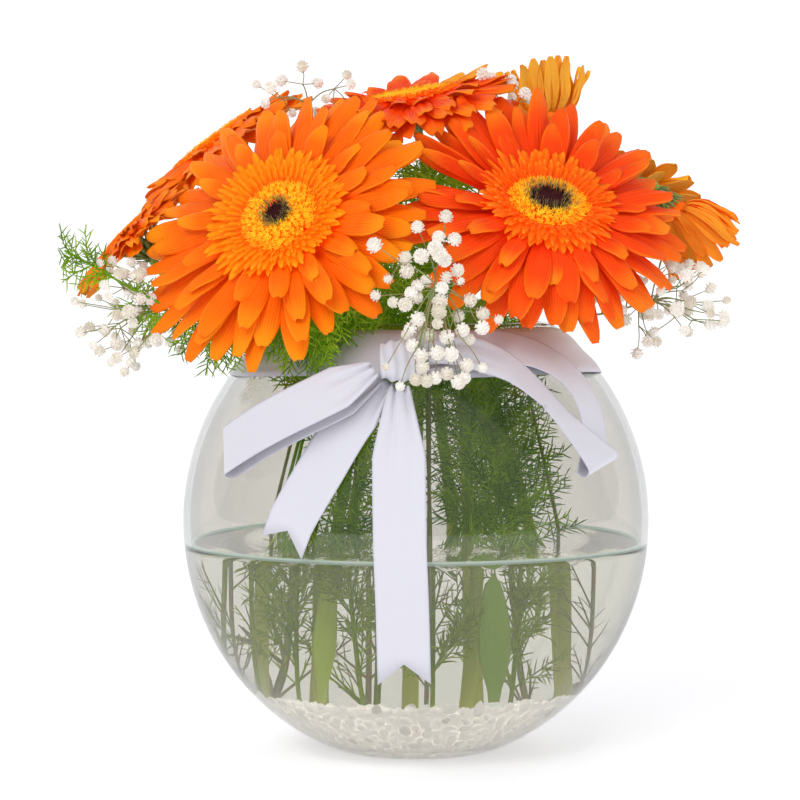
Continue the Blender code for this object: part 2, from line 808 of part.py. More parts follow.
# Fern fronds: foot, route from the neck, where twigs begin along it (share), how many
# twigs, and their mean length
FERNS = [
    ("fern_left", (-0.056, -0.012), [(-0.040, -0.016, 0.184), (-0.068, -0.030, 0.192),
                                     (-0.086, -0.040, 0.176)], 0.60, 6, 0.019),
    ("fern_front_left", (-0.044, -0.036), [(-0.026, -0.040, 0.184), (-0.038, -0.060, 0.193),
                                           (-0.050, -0.080, 0.181)], 0.62, 6, 0.018),
    ("fern_centre", (0.006, -0.046), [(0.004, -0.016, 0.180), (0.006, -0.022, 0.222),
                                      (0.012, -0.024, 0.256)], 0.66, 6, 0.018),
    ("fern_far_left", (-0.060, 0.018), [(-0.042, -0.004, 0.186), (-0.092, -0.036, 0.186),
                                        (-0.146, -0.034, 0.213)], 0.55, 6, 0.015),
    ("fern_inside_right", (0.034, -0.030), [(0.032, -0.022, 0.120), (0.026, -0.018, 0.150),
                                            (0.020, -0.012, 0.186)], 0.30, 8, 0.025),
    ("fern_inside_left", (-0.020, -0.052), [(-0.024, -0.034, 0.130), (-0.012, -0.030, 0.178),
                                            (-0.004, -0.044, 0.198)], 0.34, 7, 0.019),
    ("fern_back", (-0.010, 0.056), [(-0.010, 0.040, 0.184), (-0.012, 0.064, 0.204),
                                    (-0.014, 0.086, 0.208)], 0.58, 6, 0.019),
]


def plant_core(name, foot, route, radius, holes):
    """The main stem of a frond or spray, noted in place, with its hole."""
    path = standing_path(foot, route, 8)
    core = tube(path, radius, 0.0006, 0)
    note_shape(name, *core)
    add_hole(path, radius, 0.0006, 0, holes)
    return path, core


def build_fern(name, path, core, start_share, twigs, length, collection):
    draw = random.Random(name)
    pieces = []
    for number in range(twigs):
        share = start_share + (1 - start_share) * number / (twigs - 1) * 0.97
        place = share * (len(path) - 1)
        step = min(len(path) - 2, int(place))
        root = path[step].lerp(path[step + 1], place - step)
        heading = (path[step + 1] - path[step]).normalized()
        out = side_direction(heading, number * 2.4 + draw.uniform(-0.4, 0.4))
        reach = length * draw.uniform(0.8, 1.2)
        end = root + (heading * 0.8 + out * 0.9).normalized() * reach
        if is_clear(twig(root, end, FERN_TWIG_RADIUS, 0.0004, GAP), name):
            pieces.append(twig(root, end, FERN_TWIG_RADIUS, 0.0004))
            draws = (draw.uniform(0, 1.5), draw.uniform(0.8, 1.15))
            if is_clear(needle(root, end, draws, GAP), name):
                pieces.append(needle(root, end, draws, 0.0))
    fuse(name, core, pieces, collection, (0.10, 0.28, 0.05), 0.6)


def needle(root, end, draws, grow):
    """The needle that stands off a twig, turned and lengthened by two draws."""
    heading = (end - root).normalized()
    start = root.lerp(end, NEEDLE_PLACE)
    out = side_direction(heading, draws[0])
    stop = start + (heading * 0.9 + out).normalized() * NEEDLE_LENGTH * draws[1]
    return spike(start, stop, NEEDLE_RADIUS, grow)


# Baby's breath: foot, route from the neck, middle and half sizes of the cloud, flowers
SPRAYS = [
    ("babys_breath_front", (0.004, -0.058), [(0.006, -0.042, 0.184), (0.007, -0.072, 0.204),
                                             (0.008, -0.093, 0.199)],
     (0.008, -0.090, 0.190), (0.027, 0.013, 0.041), 26),
    ("babys_breath_left", (-0.062, -0.004), [(-0.044, -0.008, 0.185), (-0.078, -0.024, 0.188),
                                             (-0.108, -0.030, 0.188)],
     (-0.118, -0.028, 0.186), (0.028, 0.020, 0.024), 13),
    ("babys_breath_right", (0.060, -0.010), [(0.044, -0.012, 0.185), (0.074, -0.026, 0.186),
                                             (0.098, -0.030, 0.192)],
     (0.104, -0.030, 0.194), (0.028, 0.016, 0.024), 13),
    ("babys_breath_top_right", (0.030, 0.044), [(0.014, 0.010, 0.184), (0.026, 0.006, 0.235),
                                                (0.038, 0.008, 0.274)],
     (0.038, 0.006, 0.280), (0.012, 0.012, 0.014), 4),
    ("babys_breath_top_left", (-0.014, 0.022), [(-0.012, 0.004, 0.184), (-0.032, -0.004, 0.235),
                                                (-0.046, 0.000, 0.276)],
     (-0.046, -0.002, 0.281), (0.024, 0.016, 0.014), 6),
    ("babys_breath_back", (-0.034, 0.056), [(-0.024, 0.042, 0.185), (-0.034, 0.070, 0.198),
                                            (-0.040, 0.088, 0.204)],
     (-0.038, 0.086, 0.204), (0.034, 0.016, 0.024), 10),
]


def build_spray(name, path, core, middle, half_sizes, flowers, collection):
    draw = random.Random(name)
    middle = Vector(middle)
    pieces, centres = [], []
    for attempt in range(flowers * 20):
        if len(centres) == flowers:
            break
        offset = [draw.uniform(-1, 1) for axis in range(3)]
        if sum(value * value for value in offset) > 1:
            continue
        centre = middle + Vector([a * b for a, b in zip(offset, half_sizes)])
        root = nearest_root(path, centre)
        crowd = min([(centre - other).length for other in centres], default=1.0)
        if (centre - root).length < 2.2 * POM_RADIUS or crowd < 2.2 * POM_RADIUS:
            continue
        size = POM_RADIUS * draw.uniform(0.85, 1.08)
        tilt = draw.uniform(0, 1.2)
        grown = twig(root, centre, TWIG_RADIUS + GAP, GAP)
        if is_clear(pom(centre, size + GAP, tilt), name) and is_clear(grown, name):
            pieces += [spike(root, centre, TWIG_RADIUS), pom(centre, size, tilt)]
            centres.append(centre)
    fuse(name, core, pieces, collection, (0.90, 0.90, 0.84), 0.8)


def nearest_root(path, centre):
    """A point on the upper stem, below the flower, that its twig grows from."""
    upper = path[-6:]
    nearest = min(range(len(upper)), key=lambda number: (upper[number] - centre).length)
    below = max(0, nearest - 1)
    return upper[below].lerp(upper[below + 1], 0.5)


LEAF_DEPTH = 0.0006

# Two stem leaves that stand in the water: foot, top, half width
LEAVES = [
    ("right", (0.030, -0.052), (0.028, -0.050, 0.083), 0.0065),
    ("left", (-0.036, -0.050), (-0.030, -0.048, 0.084), 0.0050),
]


def leaf_shape(foot, top, half_width, grow):
    start, stop = Vector((*foot, STEM_FOOT_Z)), Vector(top)
    side = Vector((1, 0.25, 0)).normalized()
    face = side.cross((stop - start).normalized()).normalized()
    rings = []
    for share, width in ((0.0, 0.35), (0.25, 0.8), (0.5, 1.0), (0.75, 0.8)):
        point = start.lerp(stop, share)
        if share == 0.0:
            point -= (stop - start).normalized() * 4 * grow
        half = half_width * width + 5 * grow
        rings.append([point - side * half, point + face * (LEAF_DEPTH + 2 * grow),
                      point + side * half, point - face * (LEAF_DEPTH + 2 * grow)])
    return loft(rings, stop + (stop - start).normalized() * 4 * grow)


def build_leaves(collection, holes):
    for name, foot, top, half_width in LEAVES:
        shape = leaf_shape(foot, top, half_width, 0.0)
        leaf = add_object("leaf_" + name, mesh_of("leaf", *shape), collection,
                          (0.22, 0.40, 0.08), 0.5)
        note_in_place(leaf)
        grown = leaf_shape(foot, top, half_width, GAP)
        cutter = bpy.data.objects.new("leaf_hole", mesh_of("leaf_hole", *grown))
        cutter.hide_render = True
        cutter.display_type = "WIRE"
        holes.objects.link(cutter)


def build():
    empty_scene()
    parts = new_collection("gerberas_in_bowl_vase")
    holes = new_collection("stem_holes")
    build_bowl(parts)
    build_ribbon(parts)
    build_leaves(parts, holes)
    for bloom in BLOOMS:
        build_stem(bloom, parts, holes)
    fern_cores = [plant_core(fern[0], fern[1], fern[2], FERN_STEM_RADIUS, holes)
                  for fern in FERNS]
    spray_cores = [plant_core(spray[0], spray[1], spray[2], SPRAY_STEM_RADIUS, holes)
                   for spray in SPRAYS]
    for bloom in BLOOMS:
        build_disc(bloom, parts)
        build_eye(bloom, parts)
    for bloom in BLOOMS:
        build_rays(bloom, parts)
    for (name, foot, route, *twigs), (path, core) in zip(FERNS, fern_cores):
        build_fern(name, path, core, *twigs, parts)
    for (name, foot, route, *cloud), (path, core) in zip(SPRAYS, spray_cores):
        build_spray(name, path, core, *cloud, parts)
    build_water(parts, holes)
    build_gravel(parts)


build()
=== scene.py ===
import math
import random

import bpy
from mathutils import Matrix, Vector


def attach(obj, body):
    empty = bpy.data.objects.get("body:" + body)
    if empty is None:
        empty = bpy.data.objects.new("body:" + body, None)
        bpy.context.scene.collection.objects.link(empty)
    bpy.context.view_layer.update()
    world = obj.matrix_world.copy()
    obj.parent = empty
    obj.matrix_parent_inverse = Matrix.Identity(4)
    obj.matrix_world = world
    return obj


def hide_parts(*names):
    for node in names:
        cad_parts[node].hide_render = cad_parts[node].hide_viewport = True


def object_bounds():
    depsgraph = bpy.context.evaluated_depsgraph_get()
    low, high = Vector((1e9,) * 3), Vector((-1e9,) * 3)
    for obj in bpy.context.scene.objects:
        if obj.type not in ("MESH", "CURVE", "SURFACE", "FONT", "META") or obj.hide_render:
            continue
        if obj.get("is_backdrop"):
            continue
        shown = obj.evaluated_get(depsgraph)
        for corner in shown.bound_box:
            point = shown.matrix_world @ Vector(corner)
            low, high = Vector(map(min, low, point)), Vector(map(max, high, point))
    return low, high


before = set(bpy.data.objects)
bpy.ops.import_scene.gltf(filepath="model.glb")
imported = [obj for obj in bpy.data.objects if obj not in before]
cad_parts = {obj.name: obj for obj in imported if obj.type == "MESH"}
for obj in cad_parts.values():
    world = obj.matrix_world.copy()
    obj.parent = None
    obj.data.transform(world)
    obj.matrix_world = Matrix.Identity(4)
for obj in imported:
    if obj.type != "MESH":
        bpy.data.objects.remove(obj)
cad_low, cad_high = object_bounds()


# Glass bowl. One blown shell of clear soda glass, an ellipsoid with a flat base and
# an open mouth with a fire-polished rim. It stands on its base and holds the rest.

BOWL_RADIUS = 0.100
BOWL_HALF_HEIGHT = 0.1043
BOWL_CENTRE_Z = 0.0976
BOWL_HEIGHT = 0.183
WALL = 0.003
BASE_THICKNESS = 0.005
DISH = 0.002
RIM_ROUND = 0.0012
ROUND_SIDES = 128


def formula(operation, turned=False):
    """A method of Value that adds one Math node."""
    def method(self, *others):
        values = (self, *others)
        return self.math(operation, *(values[::-1] if turned else values))
    return method


class Value:
    """The output of a node. Arithmetic on it adds Math nodes, so it reads as a formula."""

    def __init__(self, tree, socket):
        self.tree, self.socket = tree, socket

    def math(self, operation, *values):
        return self.tree.node("ShaderNodeMath", dict(enumerate(values)), operation=operation)

    __add__ = __radd__ = formula("ADD")
    __sub__ = formula("SUBTRACT")
    __rsub__ = formula("SUBTRACT", turned=True)
    __mul__ = __rmul__ = formula("MULTIPLY")
    __truediv__ = formula("DIVIDE")
    __pow__ = formula("POWER")
    sine = formula("SINE")
    cosine = formula("COSINE")
    size = formula("ABSOLUTE")

    def clamped(self):
        return self.math("MINIMUM", self.math("MAXIMUM", self, 0.0), 1.0)

    def smooth(self, start, stop):
        """0 before start, 1 after stop, and an even rise between them."""
        return self.tree.node("ShaderNodeMapRange", {0: self, 1: start, 2: stop},
                              interpolation_type="SMOOTHSTEP")


class Tree:
    """A tree of shader or geometry nodes, and the one way that nodes are added to it."""

    def __init__(self, tree):
        self.tree = tree

    def node(self, kind, sockets={}, out=0, **settings):
        made = self.tree.nodes.new(kind)
        for name, value in settings.items():
            setattr(made, name, value)
        for place, value in sockets.items():
            self.feed(made.inputs[place], value)
        return Value(self, made.outputs[out])

    def feed(self, socket, value):
        if isinstance(value, Value):
            self.tree.links.new(value.socket, socket)
        else:
            socket.default_value = value


class Finish(Tree):
    """A procedural material. What is the same all over is set on its shader's sockets."""

    def __init__(self, name, constants):
        self.material = bpy.data.materials.new(name)
        self.material.use_nodes = True
        super().__init__(self.material.node_tree)
        self.shader = self.tree.nodes["Principled BSDF"]
        for socket, value in constants.items():
            self.shader.inputs[socket].default_value = value

    def place(self, scale=None):
        """Object coordinates, stretched where a scale is given."""
        place = self.node("ShaderNodeTexCoord", out="Object")
        return self.node("ShaderNodeMapping", {"Vector": place, "Scale": scale}) if scale else place

    def noise(self, scale, detail=2.0, vector=None):
        return self.node("ShaderNodeTexNoise", {"Vector": vector or self.place(), "Scale": scale,
                                                "Detail": detail})

    def attribute(self, name):
        return self.node("ShaderNodeAttribute", out="Fac", attribute_name=name)

    def dress(self, colour, *coats, roughness=None, painted_glow=False):
        """The colour, with coats laid over it: each is how far it covers, and its own colour. Where
        it is told to glow, the colour also lights itself: painted light.
        """
        shown = paint(*colour)
        for cover, coat in coats:
            shown = self.node("ShaderNodeMix", {0: cover, 6: shown, 7: paint(*coat)}, 2,
                              data_type="RGBA")
        self.feed(self.shader.inputs["Base Color"], shown)
        if painted_glow:
            self.feed(self.shader.inputs["Emission Color"], shown)
        if roughness:
            self.feed(self.shader.inputs["Roughness"], roughness)

    def bump(self, height, distance, strength):
        self.feed(self.shader.inputs["Normal"], self.node("ShaderNodeBump", {
            "Height": height, "Distance": distance, "Strength": strength}))


def paint(red, green, blue):
    """A linear colour from its everyday 0 to 255 values."""
    channels = [value / 255 for value in (red, green, blue)]
    return (*[c / 12.92 if c < 0.04 else ((c + 0.055) / 1.055) ** 2.4 for c in channels], 1.0)


def new_mesh(name, points, faces=(), edges=()):
    mesh = bpy.data.meshes.new(name)
    mesh.from_pydata([tuple(point) for point in points], edges, faces)
    mesh.shade_smooth()
    return mesh


def new_object(name, data):
    made = bpy.data.objects.new(name, data)
    bpy.context.scene.collection.objects.link(made)
    return made


def add_piece(name, points, faces, finish):
    mesh = new_mesh(name, points, faces)
    mesh.materials.append(finish.material)
    return new_object(name, mesh)


def settle(piece, node):
    """A finished piece rides with the vase and stands for its CAD node."""
    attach(piece, "root")
    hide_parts(node)


def circle(count, radius, height, turn=0.0, aside=0.0):
    """Points evenly round the Z axis, or round a line beside it."""
    angles = [math.tau * (number + turn) / count for number in range(count)]
    return [(radius * math.cos(angle) + aside, radius * math.sin(angle), height)
            for angle in angles]


def lathe(profile, sides):
    """A closed shape turned about Z, from the top of its axis round to the bottom."""
    points, rings, faces = [], [], []
    for radius, height in profile:
        count = sides if radius else 1
        rings.append([len(points) + side % count for side in range(sides)])
        points += circle(count, radius, height)
    for ring, lower in zip(rings, rings[1:]):
        for side in range(sides):
            after = (side + 1) % sides
            corners = [ring[side], lower[side], lower[after], ring[after]]
            faces.append(tuple(dict.fromkeys(corners)))
    return points, faces


def bowl_radius(z, inset=0.0):
    reach = (z - BOWL_CENTRE_Z) / (BOWL_HALF_HEIGHT - inset)
    return (BOWL_RADIUS - inset) * math.sqrt(max(0.0, 1 - reach * reach))


def up_the_wall(bottom, top, inset, count, proud=0.0):
    """Radii and heights up the wall, at even angles round its ellipse."""
    half = BOWL_HALF_HEIGHT - inset
    first, last = [math.asin((z - BOWL_CENTRE_Z) / half) for z in (bottom, top)]
    angles = [first + (last - first) * step / (count - 1) for step in range(count)]
    heights = [BOWL_CENTRE_Z + half * math.sin(angle) for angle in angles]
    return [(bowl_radius(z, inset) + proud, z) for z in heights]


glass = Finish("clear_glass", {"Roughness": 0.0, "IOR": 1.5, "Transmission Weight": 1.0})
# The glass is darker where it is seen edge-on: painted shade for the dark edge lines of the bowl.
edge_on_painted_shade = glass.node("ShaderNodeLayerWeight", {"Blend": 0.5}, "Facing").smooth(0.55, 0.92)
glass.dress((225, 223, 217), (edge_on_painted_shade, (138, 142, 142)))
glass.bump(glass.noise(14.0, 1.0), 0.0006, 0.5)

shoulder = BOWL_HEIGHT - RIM_ROUND
outer = up_the_wall(0.0012, shoulder, 0.0, 56)
inner = up_the_wall(BASE_THICKNESS + DISH, shoulder, WALL, 52)
rim_out, rim_in = outer[-1][0], inner[-1][0]
rim = [((rim_out + rim_in) / 2 + (rim_out - rim_in) / 2 * math.cos(math.pi * step / 8),
        shoulder + RIM_ROUND * math.sin(math.pi * step / 8)) for step in range(1, 8)]
foot = bowl_radius(0.0)
base = [(foot - 0.0012, 0.0), (foot - 0.0040, 0.0), (foot - 0.0060, 0.0006), (0.0, 0.0014)]
dish = [(inner[0][0] * share, BASE_THICKNESS + DISH * share ** 6)
        for share in (0.97, 0.93, 0.86, 0.7, 0.4)]
profile = [(0.0, BASE_THICKNESS), *dish[::-1], *inner, *rim[::-1], *outer[::-1], *base]
bowl = add_piece("bowl", *lathe(profile, ROUND_SIDES), glass)
bowl.visible_shadow = False
settle(bowl, "glass_bowl")


# Gravel. Crushed white marble chips, a few millimetres to a centimetre across, poured
# in about 25 mm deep. They are wet, lie against the glass and hold the stems' feet.

GRAVEL_TOP = 0.030
CHIP_SIZE = 0.0031
CHIP_SPACING = 0.0036
BED_GAP = 0.0021


class Maker(Tree):
    """A Geometry Nodes tree with named inputs, and the mesh that it makes from them."""

    def __init__(self, name, **inputs):
        super().__init__(bpy.data.node_groups.new(name, "GeometryNodeTree"))
        new_socket = self.tree.interface.new_socket
        self.keys = {}
        for label, kind in {"Geometry": "Geometry", **inputs, "Material": "Material"}.items():
            made = new_socket(label, in_out="INPUT", socket_type="NodeSocket" + kind)
            self.keys[label] = made.identifier
        new_socket("Geometry", in_out="OUTPUT", socket_type="NodeSocketGeometry")
        entry = self.tree.nodes.new("NodeGroupInput")
        self.given = {label: Value(self, entry.outputs[label]) for label in self.keys}

    def named(self, name, kind="FLOAT"):
        return self.node("GeometryNodeInputNamedAttribute", {"Name": name}, data_type=kind)

    def stored(self, geometry, name, value):
        return self.node("GeometryNodeStoreNamedAttribute", {
            "Geometry": geometry, "Name": name, "Value": value}, data_type="FLOAT")

    def shape(self, label):
        return self.node("GeometryNodeObjectInfo", {"Object": self.given[label]}, "Geometry")

    def vector(self, operation, *values, factor=1.0):
        return self.node("ShaderNodeVectorMath", {**dict(enumerate(values)), 3: factor},
                         operation=operation)

    def close(self, geometry):
        """Ends the tree: instances become real faces, with the material on them."""
        real = self.node("GeometryNodeRealizeInstances", {"Geometry": geometry})
        dressed = self.node("GeometryNodeSetMaterial", {"Geometry": real,
                                                        "Material": self.given["Material"]})
        self.feed(self.tree.nodes.new("NodeGroupOutput").inputs["Geometry"], dressed)

    def run(self, name, mesh, finish, kept=("tone",), **values):
        """The finished mesh as an object. It keeps only the named attributes."""
        made = new_object(name, mesh)
        modifier = made.modifiers.new("make", "NODES")
        modifier.node_group = self.tree
        for label, value in {**values, "Material": finish.material}.items():
            modifier[self.keys[label]] = value
        depsgraph = bpy.context.evaluated_depsgraph_get()
        result = bpy.data.meshes.new_from_object(
            made.evaluated_get(depsgraph), preserve_all_data_layers=True, depsgraph=depsgraph)
        made.modifiers.clear()
        made.data = result
        result.name = name
        result.shade_smooth()
        for label in [layer.name for layer in result.attributes if layer.domain == "POINT"]:
            if label not in (*kept, "position"):
                result.attributes.remove(result.attributes[label])
        return made


def mark(mesh, **layers):
    """Writes a number or a vector for each of the mesh's points."""
    for name, values in layers.items():
        if isinstance(values[0], float):
            mesh.attributes.new(name, "FLOAT", "POINT").data.foreach_set("value", values)
        else:
            flat = [number for vector in values for number in vector]
            mesh.attributes.new(name, "FLOAT_VECTOR", "POINT").data.foreach_set("vector", flat)
    return mesh


def template(name, points, faces):
    """A small shape that is repeated. It isn't in the scene itself."""
    return bpy.data.objects.new(name, new_mesh(name, points, faces))


def chip_shape(seed):
    """One chip: a ball of a few dozen faces, cut to blunt flat sides."""
    draw = random.Random(seed)
    cuts = [(Vector([draw.gauss(0, 1) for axis in range(3)]).normalized(), draw.uniform(0.55, 0.8))
            for side in range(7)]
    stretch = Vector((draw.uniform(1.0, 1.35), draw.uniform(0.8, 1.0), draw.uniform(0.6, 0.8)))
    points, faces = lathe([(0.0, 1.0), (0.55, 0.83), (0.92, 0.38), (0.97, -0.22), (0.7, -0.7),
                           (0.0, -1.0)], 8)
    blunt = []
    for point in map(Vector, points):
        for direction, reach in cuts:
            point -= direction * max(0.0, point.dot(direction) - reach)
        blunt.append(point * stretch)
    return blunt, faces


chips = bpy.data.collections.new("chip_shapes")
for number in range(5):
    chips.objects.link(template(f"chip_shape_{number}", *chip_shape(number)))

poured = Maker("poured", Shapes="Collection", Spacing="Float", Size="Float", Seed="Int")
spots = poured.node("GeometryNodeDistributePointsOnFaces", {
    "Mesh": poured.given["Geometry"], "Distance Min": poured.given["Spacing"],
    "Density Max": 160000.0, "Seed": poured.given["Seed"]}, distribute_method="POISSON")
tumbled = poured.node("FunctionNodeRandomValue", {0: (0.0, 0.0, 0.0), 1: (6.3, 6.3, 6.3), 8: 11},
                      data_type="FLOAT_VECTOR")
uneven, shade = [poured.node("FunctionNodeRandomValue", {2: low, 3: high, 8: seed}, 1,
                             data_type="FLOAT")
                 for low, high, seed in ((0.62, 1.25, 12), (0.0, 1.0, 13))]
poured.close(poured.node("GeometryNodeInstanceOnPoints", {
    "Points": poured.stored(spots, "tone", shade), "Pick Instance": True,
    "Instance": poured.node("GeometryNodeCollectionInfo", {
        "Collection": poured.given["Shapes"], "Separate Children": True, "Reset Children": True}),
    "Rotation": poured.node("FunctionNodeEulerToRotation", {0: tumbled}),
    "Scale": uneven * poured.given["Size"]}))

# The chips glow: painted light for the light that reaches the gravel through the glass and the
# water.
marble = Finish("white_marble", {"IOR": 1.5, "Emission Strength": 0.52,
                                 "Emission Color": paint(246, 242, 240)})
chip_tone = marble.attribute("tone")
cloudy = marble.noise(160.0, 4.0)
marble.dress((248, 245, 240), (chip_tone.smooth(0.35, 0.9), (236, 230, 220)),
             (chip_tone.smooth(0.93, 0.95), (150, 132, 112)),
             (cloudy.smooth(0.52, 0.75) * 0.4, (222, 210, 198)), roughness=0.3 + 0.3 * cloudy)
marble.bump(marble.noise(900.0, 3.0), 0.0003, 0.5)

bed_top = GRAVEL_TOP - 0.0018
bed_wall = up_the_wall(BASE_THICKNESS + 0.003, bed_top, WALL, 9, -BED_GAP)
bed_rows = [(bed_wall[-1][0] * share, bed_top + 0.0012 * math.sin(7 * share))
            for share in (0.12, 0.25, 0.4, 0.55, 0.7, 0.85)]
bed = lathe([(0.0, bed_top), *bed_rows, *bed_wall[::-1], (0.0, BASE_THICKNESS + 0.003)], 64)
gravel = poured.run("gravel_chips", new_mesh("gravel_bed", *bed), marble,
                    Shapes=chips, Spacing=CHIP_SPACING, Size=CHIP_SIZE, Seed=3)
for vertex in gravel.data.vertices:
    x, y, z = vertex.co
    vertex.co.z = z = max(z, BASE_THICKNESS + BED_GAP)
    limit = (bowl_radius(z, WALL) - 0.0003) / max(1e-6, math.hypot(x, y))
    if limit < 1:
        vertex.co.x, vertex.co.y = x * limit, y * limit
settle(gravel, "gravel")
bedding = add_piece("gravel_bedding", *bed, marble)
mark(bedding.data, tone=[0.6] * len(bedding.data.vertices))
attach(bedding, "root")


# Water. It fills the gravel and stands up to just under the widest line of the bowl,
# and climbs a millimetre up the glass all round. Its skin lies just inside the wall.

WATER_TOP = 0.0889
SKIN = 0.0002

water = Finish("vase_water", {"Base Color": paint(251, 253, 249), "Roughness": 0.0, "IOR": 1.333,
                              "Transmission Weight": 1.0})
water.bump(water.noise(30.0, 1.0), 0.0004, 0.3)

edge = bowl_radius(WATER_TOP, WALL)
surface = [(edge + SKIN - back, WATER_TOP + rise)
           for back, rise in ((0.0045, 0.0), (0.0006, 0.0001), (0.0, 0.0003))]
side_wall = up_the_wall(BASE_THICKNESS + DISH, WATER_TOP, WALL, 40, SKIN)
under = [(radius - SKIN, height - SKIN) for radius, height in dish[1:]]
pool = add_piece("water_body", *lathe(
    [(0.0, WATER_TOP), (edge * 0.5, WATER_TOP), *surface, *side_wall[-2::-1], *under,
     (0.0, BASE_THICKNESS - SKIN)], ROUND_SIDES), water)
pool.visible_shadow = False
settle(pool, "water")

# The waterline ring is painted light: a half-clear pale teal band that lights itself, for the light
# line that the water's edge shows in the glass.
waterline_painted_glow = Finish("waterline", {"Roughness": 0.3, "Alpha": 0.7, "Emission Strength": 0.35,
                                "Emission Color": paint(206, 226, 218)})
waterline_painted_glow.dress((190, 214, 204), (waterline_painted_glow.noise(40.0), (214, 226, 220)))
ring = [(bowl_radius(WATER_TOP + rise, WALL) - back, WATER_TOP + rise) for back, rise in (
    (0.0004, 0.0011), (0.0004, -0.0008), (0.0012, -0.0008), (0.0012, 0.0009))]
points, faces = lathe([*ring, ring[0]], ROUND_SIDES)
count = len(ring) * ROUND_SIDES
waterline = add_piece("waterline", points[:count],
                      [tuple(corner % count for corner in face) for face in faces], waterline_painted_glow)
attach(waterline, "root")


# Flower stems. A gerbera has one bare, ribbed and finely haired stem, thicker at its
# foot. It stands on the gravel, leans on the mouth of the bowl and ends in a green
# cup of narrow bracts that holds the flower head.

STEM_FOOT_Z = 0.0320
STEM_RADIUS = 0.0027
STEM_TIP_RADIUS = 0.0021
NECK_Z = 0.180
HUB_DEPTH = 0.0052
CALYX_DEPTH = 0.010


def smooth_path(route, count):
    """Points evenly placed on a smooth curve through the route's points."""
    route = [Vector(point) for point in route]
    ends = [2 * route[0] - route[1], *route, 2 * route[-1] - route[-2]]
    fine = []
    for before, start, stop, after in zip(ends, ends[1:], ends[2:], ends[3:]):
        for t in [part / 12 for part in range(12)]:
            fine.append(0.5 * (2 * start + (stop - before) * t
                               + (2 * before - 5 * start + 4 * stop - after) * t * t
                               + (3 * start - before - 3 * stop + after) * t * t * t))
    fine.append(route[-1])
    lengths = [0.0]
    for start, stop in zip(fine, fine[1:]):
        lengths.append(lengths[-1] + (stop - start).length)
    path, place = [], 0
    for number in range(count):
        wanted = lengths[-1] * number / (count - 1)
        while place < len(lengths) - 2 and lengths[place + 1] < wanted:
            place += 1
        share = (wanted - lengths[place]) / (lengths[place + 1] - lengths[place])
        path.append(fine[place].lerp(fine[place + 1], min(1.0, share)))
    return path


def metres(*places):
    """Places that are given in millimetres."""
    return [tuple(value / 1000 for value in place) for place in places]


def standing_path(foot, route, count):
    """A stem: straight up through the water, then on a smooth curve through the route."""
    foot = Vector((*foot, STEM_FOOT_Z))
    first = Vector(route[0])
    share = (WATER_TOP + 0.006 - foot.z) / (first.z - foot.z)
    bend = foot.lerp(first, share) + Vector((foot.x, foot.y, 0)) * 0.12
    low = smooth_path([foot, foot.lerp(bend, 0.5), bend], max(3, count // 3))
    return [*low[:-1], *smooth_path([bend, *route], count)]


stalks = Maker("stalks", Sides="Int")
stalks.close(stalks.node("GeometryNodeCurveToMesh", {
    "Curve": stalks.stored(
        stalks.node("GeometryNodeMeshToCurve", {"Mesh": stalks.given["Geometry"]}), "along",
        stalks.node("GeometryNodeSplineParameter", out="Factor")),
    "Profile Curve": stalks.node("GeometryNodeCurvePrimitiveCircle", {
        "Resolution": stalks.given["Sides"], "Radius": 1.0}),
    "Scale": stalks.named("thickness"), "Fill Caps": True}))


def line_mesh(lines):
    """Lines for the stalks: each is its points, its radius at both ends, and its tone."""
    points, edges, radii, tones = [], [], [], []
    for path, radius, end_radius, tone in lines:
        edges += [(len(points) + step, len(points) + step + 1) for step in range(len(path) - 1)]
        points += path
        radii += [radius + (end_radius - radius) * (number / (len(path) - 1))
                  for number in range(len(path))]
        tones += [tone] * len(path)
    return mark(new_mesh("lines", points, (), edges), thickness=radii, tone=tones)


def leaf_template(name, columns, stations):
    """A flat closed leaf, one long: its points know how far along and across they are."""
    places, top, under, faces = [], [], [], []

    def add(share, side, face):
        places.append((share, side, face))
        return len(places) - 1

    sides = [2 * column / columns - 1 for column in range(columns + 1)]
    sides = [side * (1.5 - 0.5 * side * side) for side in sides]
    for share in stations[:-1]:
        top.append([add(share, side, 0.0 if abs(side) == 1 else 1.0) for side in sides])
        under.append([top[-1][column] if abs(side) == 1 else add(share, side, -1.0)
                      for column, side in enumerate(sides)])
    tip = add(1.0, 0.0, 0.0)
    for row in range(len(top) - 1):
        for c in range(columns):
            faces.append((top[row][c], top[row + 1][c], top[row + 1][c + 1], top[row][c + 1]))
            faces.append((under[row][c], under[row][c + 1], under[row + 1][c + 1],
                          under[row + 1][c]))
    for c in range(columns):
        faces.append((top[-1][c], tip, top[-1][c + 1]))
        faces.append((under[-1][c], under[-1][c + 1], tip))
        root = (top[0][c], top[0][c + 1], under[0][c + 1], under[0][c])
        faces.append(tuple(dict.fromkeys(root)))
    made = template(name, [(share, side, 0.02 * face) for share, side, face in places], faces)
    mark(made.data, **dict(zip(("along", "across", "over"), zip(*places))))
    return made


LEAF_FORM = ("Widest", "Foot", "Shoulder", "Roundness", "Notch", "Cup", "Groove", "Ruffle",
             "Thickness")
leaves = Maker("leaves", Leaf="Object", **dict.fromkeys(LEAF_FORM, "Float"))
widest, root_width, shoulder, roundness, notch, cup, groove, ruffle, thickness = [
    leaves.given[label] for label in LEAF_FORM]
along, across, over, half_width = map(leaves.named, ("along", "across", "over", "half_width"))
start, lead, arrive, stop, level = [leaves.named(name, "FLOAT_VECTOR")
                                    for name in ("start", "lead", "arrive", "stop", "side")]
nick = notch * (1 - (across.size() * 2.4).clamped()) * along ** 8.0
share = along * (1 - nick)
rest = 1 - share


def total(*parts):
    """The sum of vectors, each times its weight."""
    scaled = [leaves.vector("SCALE", vector, factor=weight) for vector, weight in parts]
    summed = scaled[0]
    for part in scaled[1:]:
        summed = leaves.vector("ADD", summed, part)
    return summed


def square_to(first, second):
    return leaves.vector("NORMALIZE", leaves.vector("CROSS_PRODUCT", first, second))


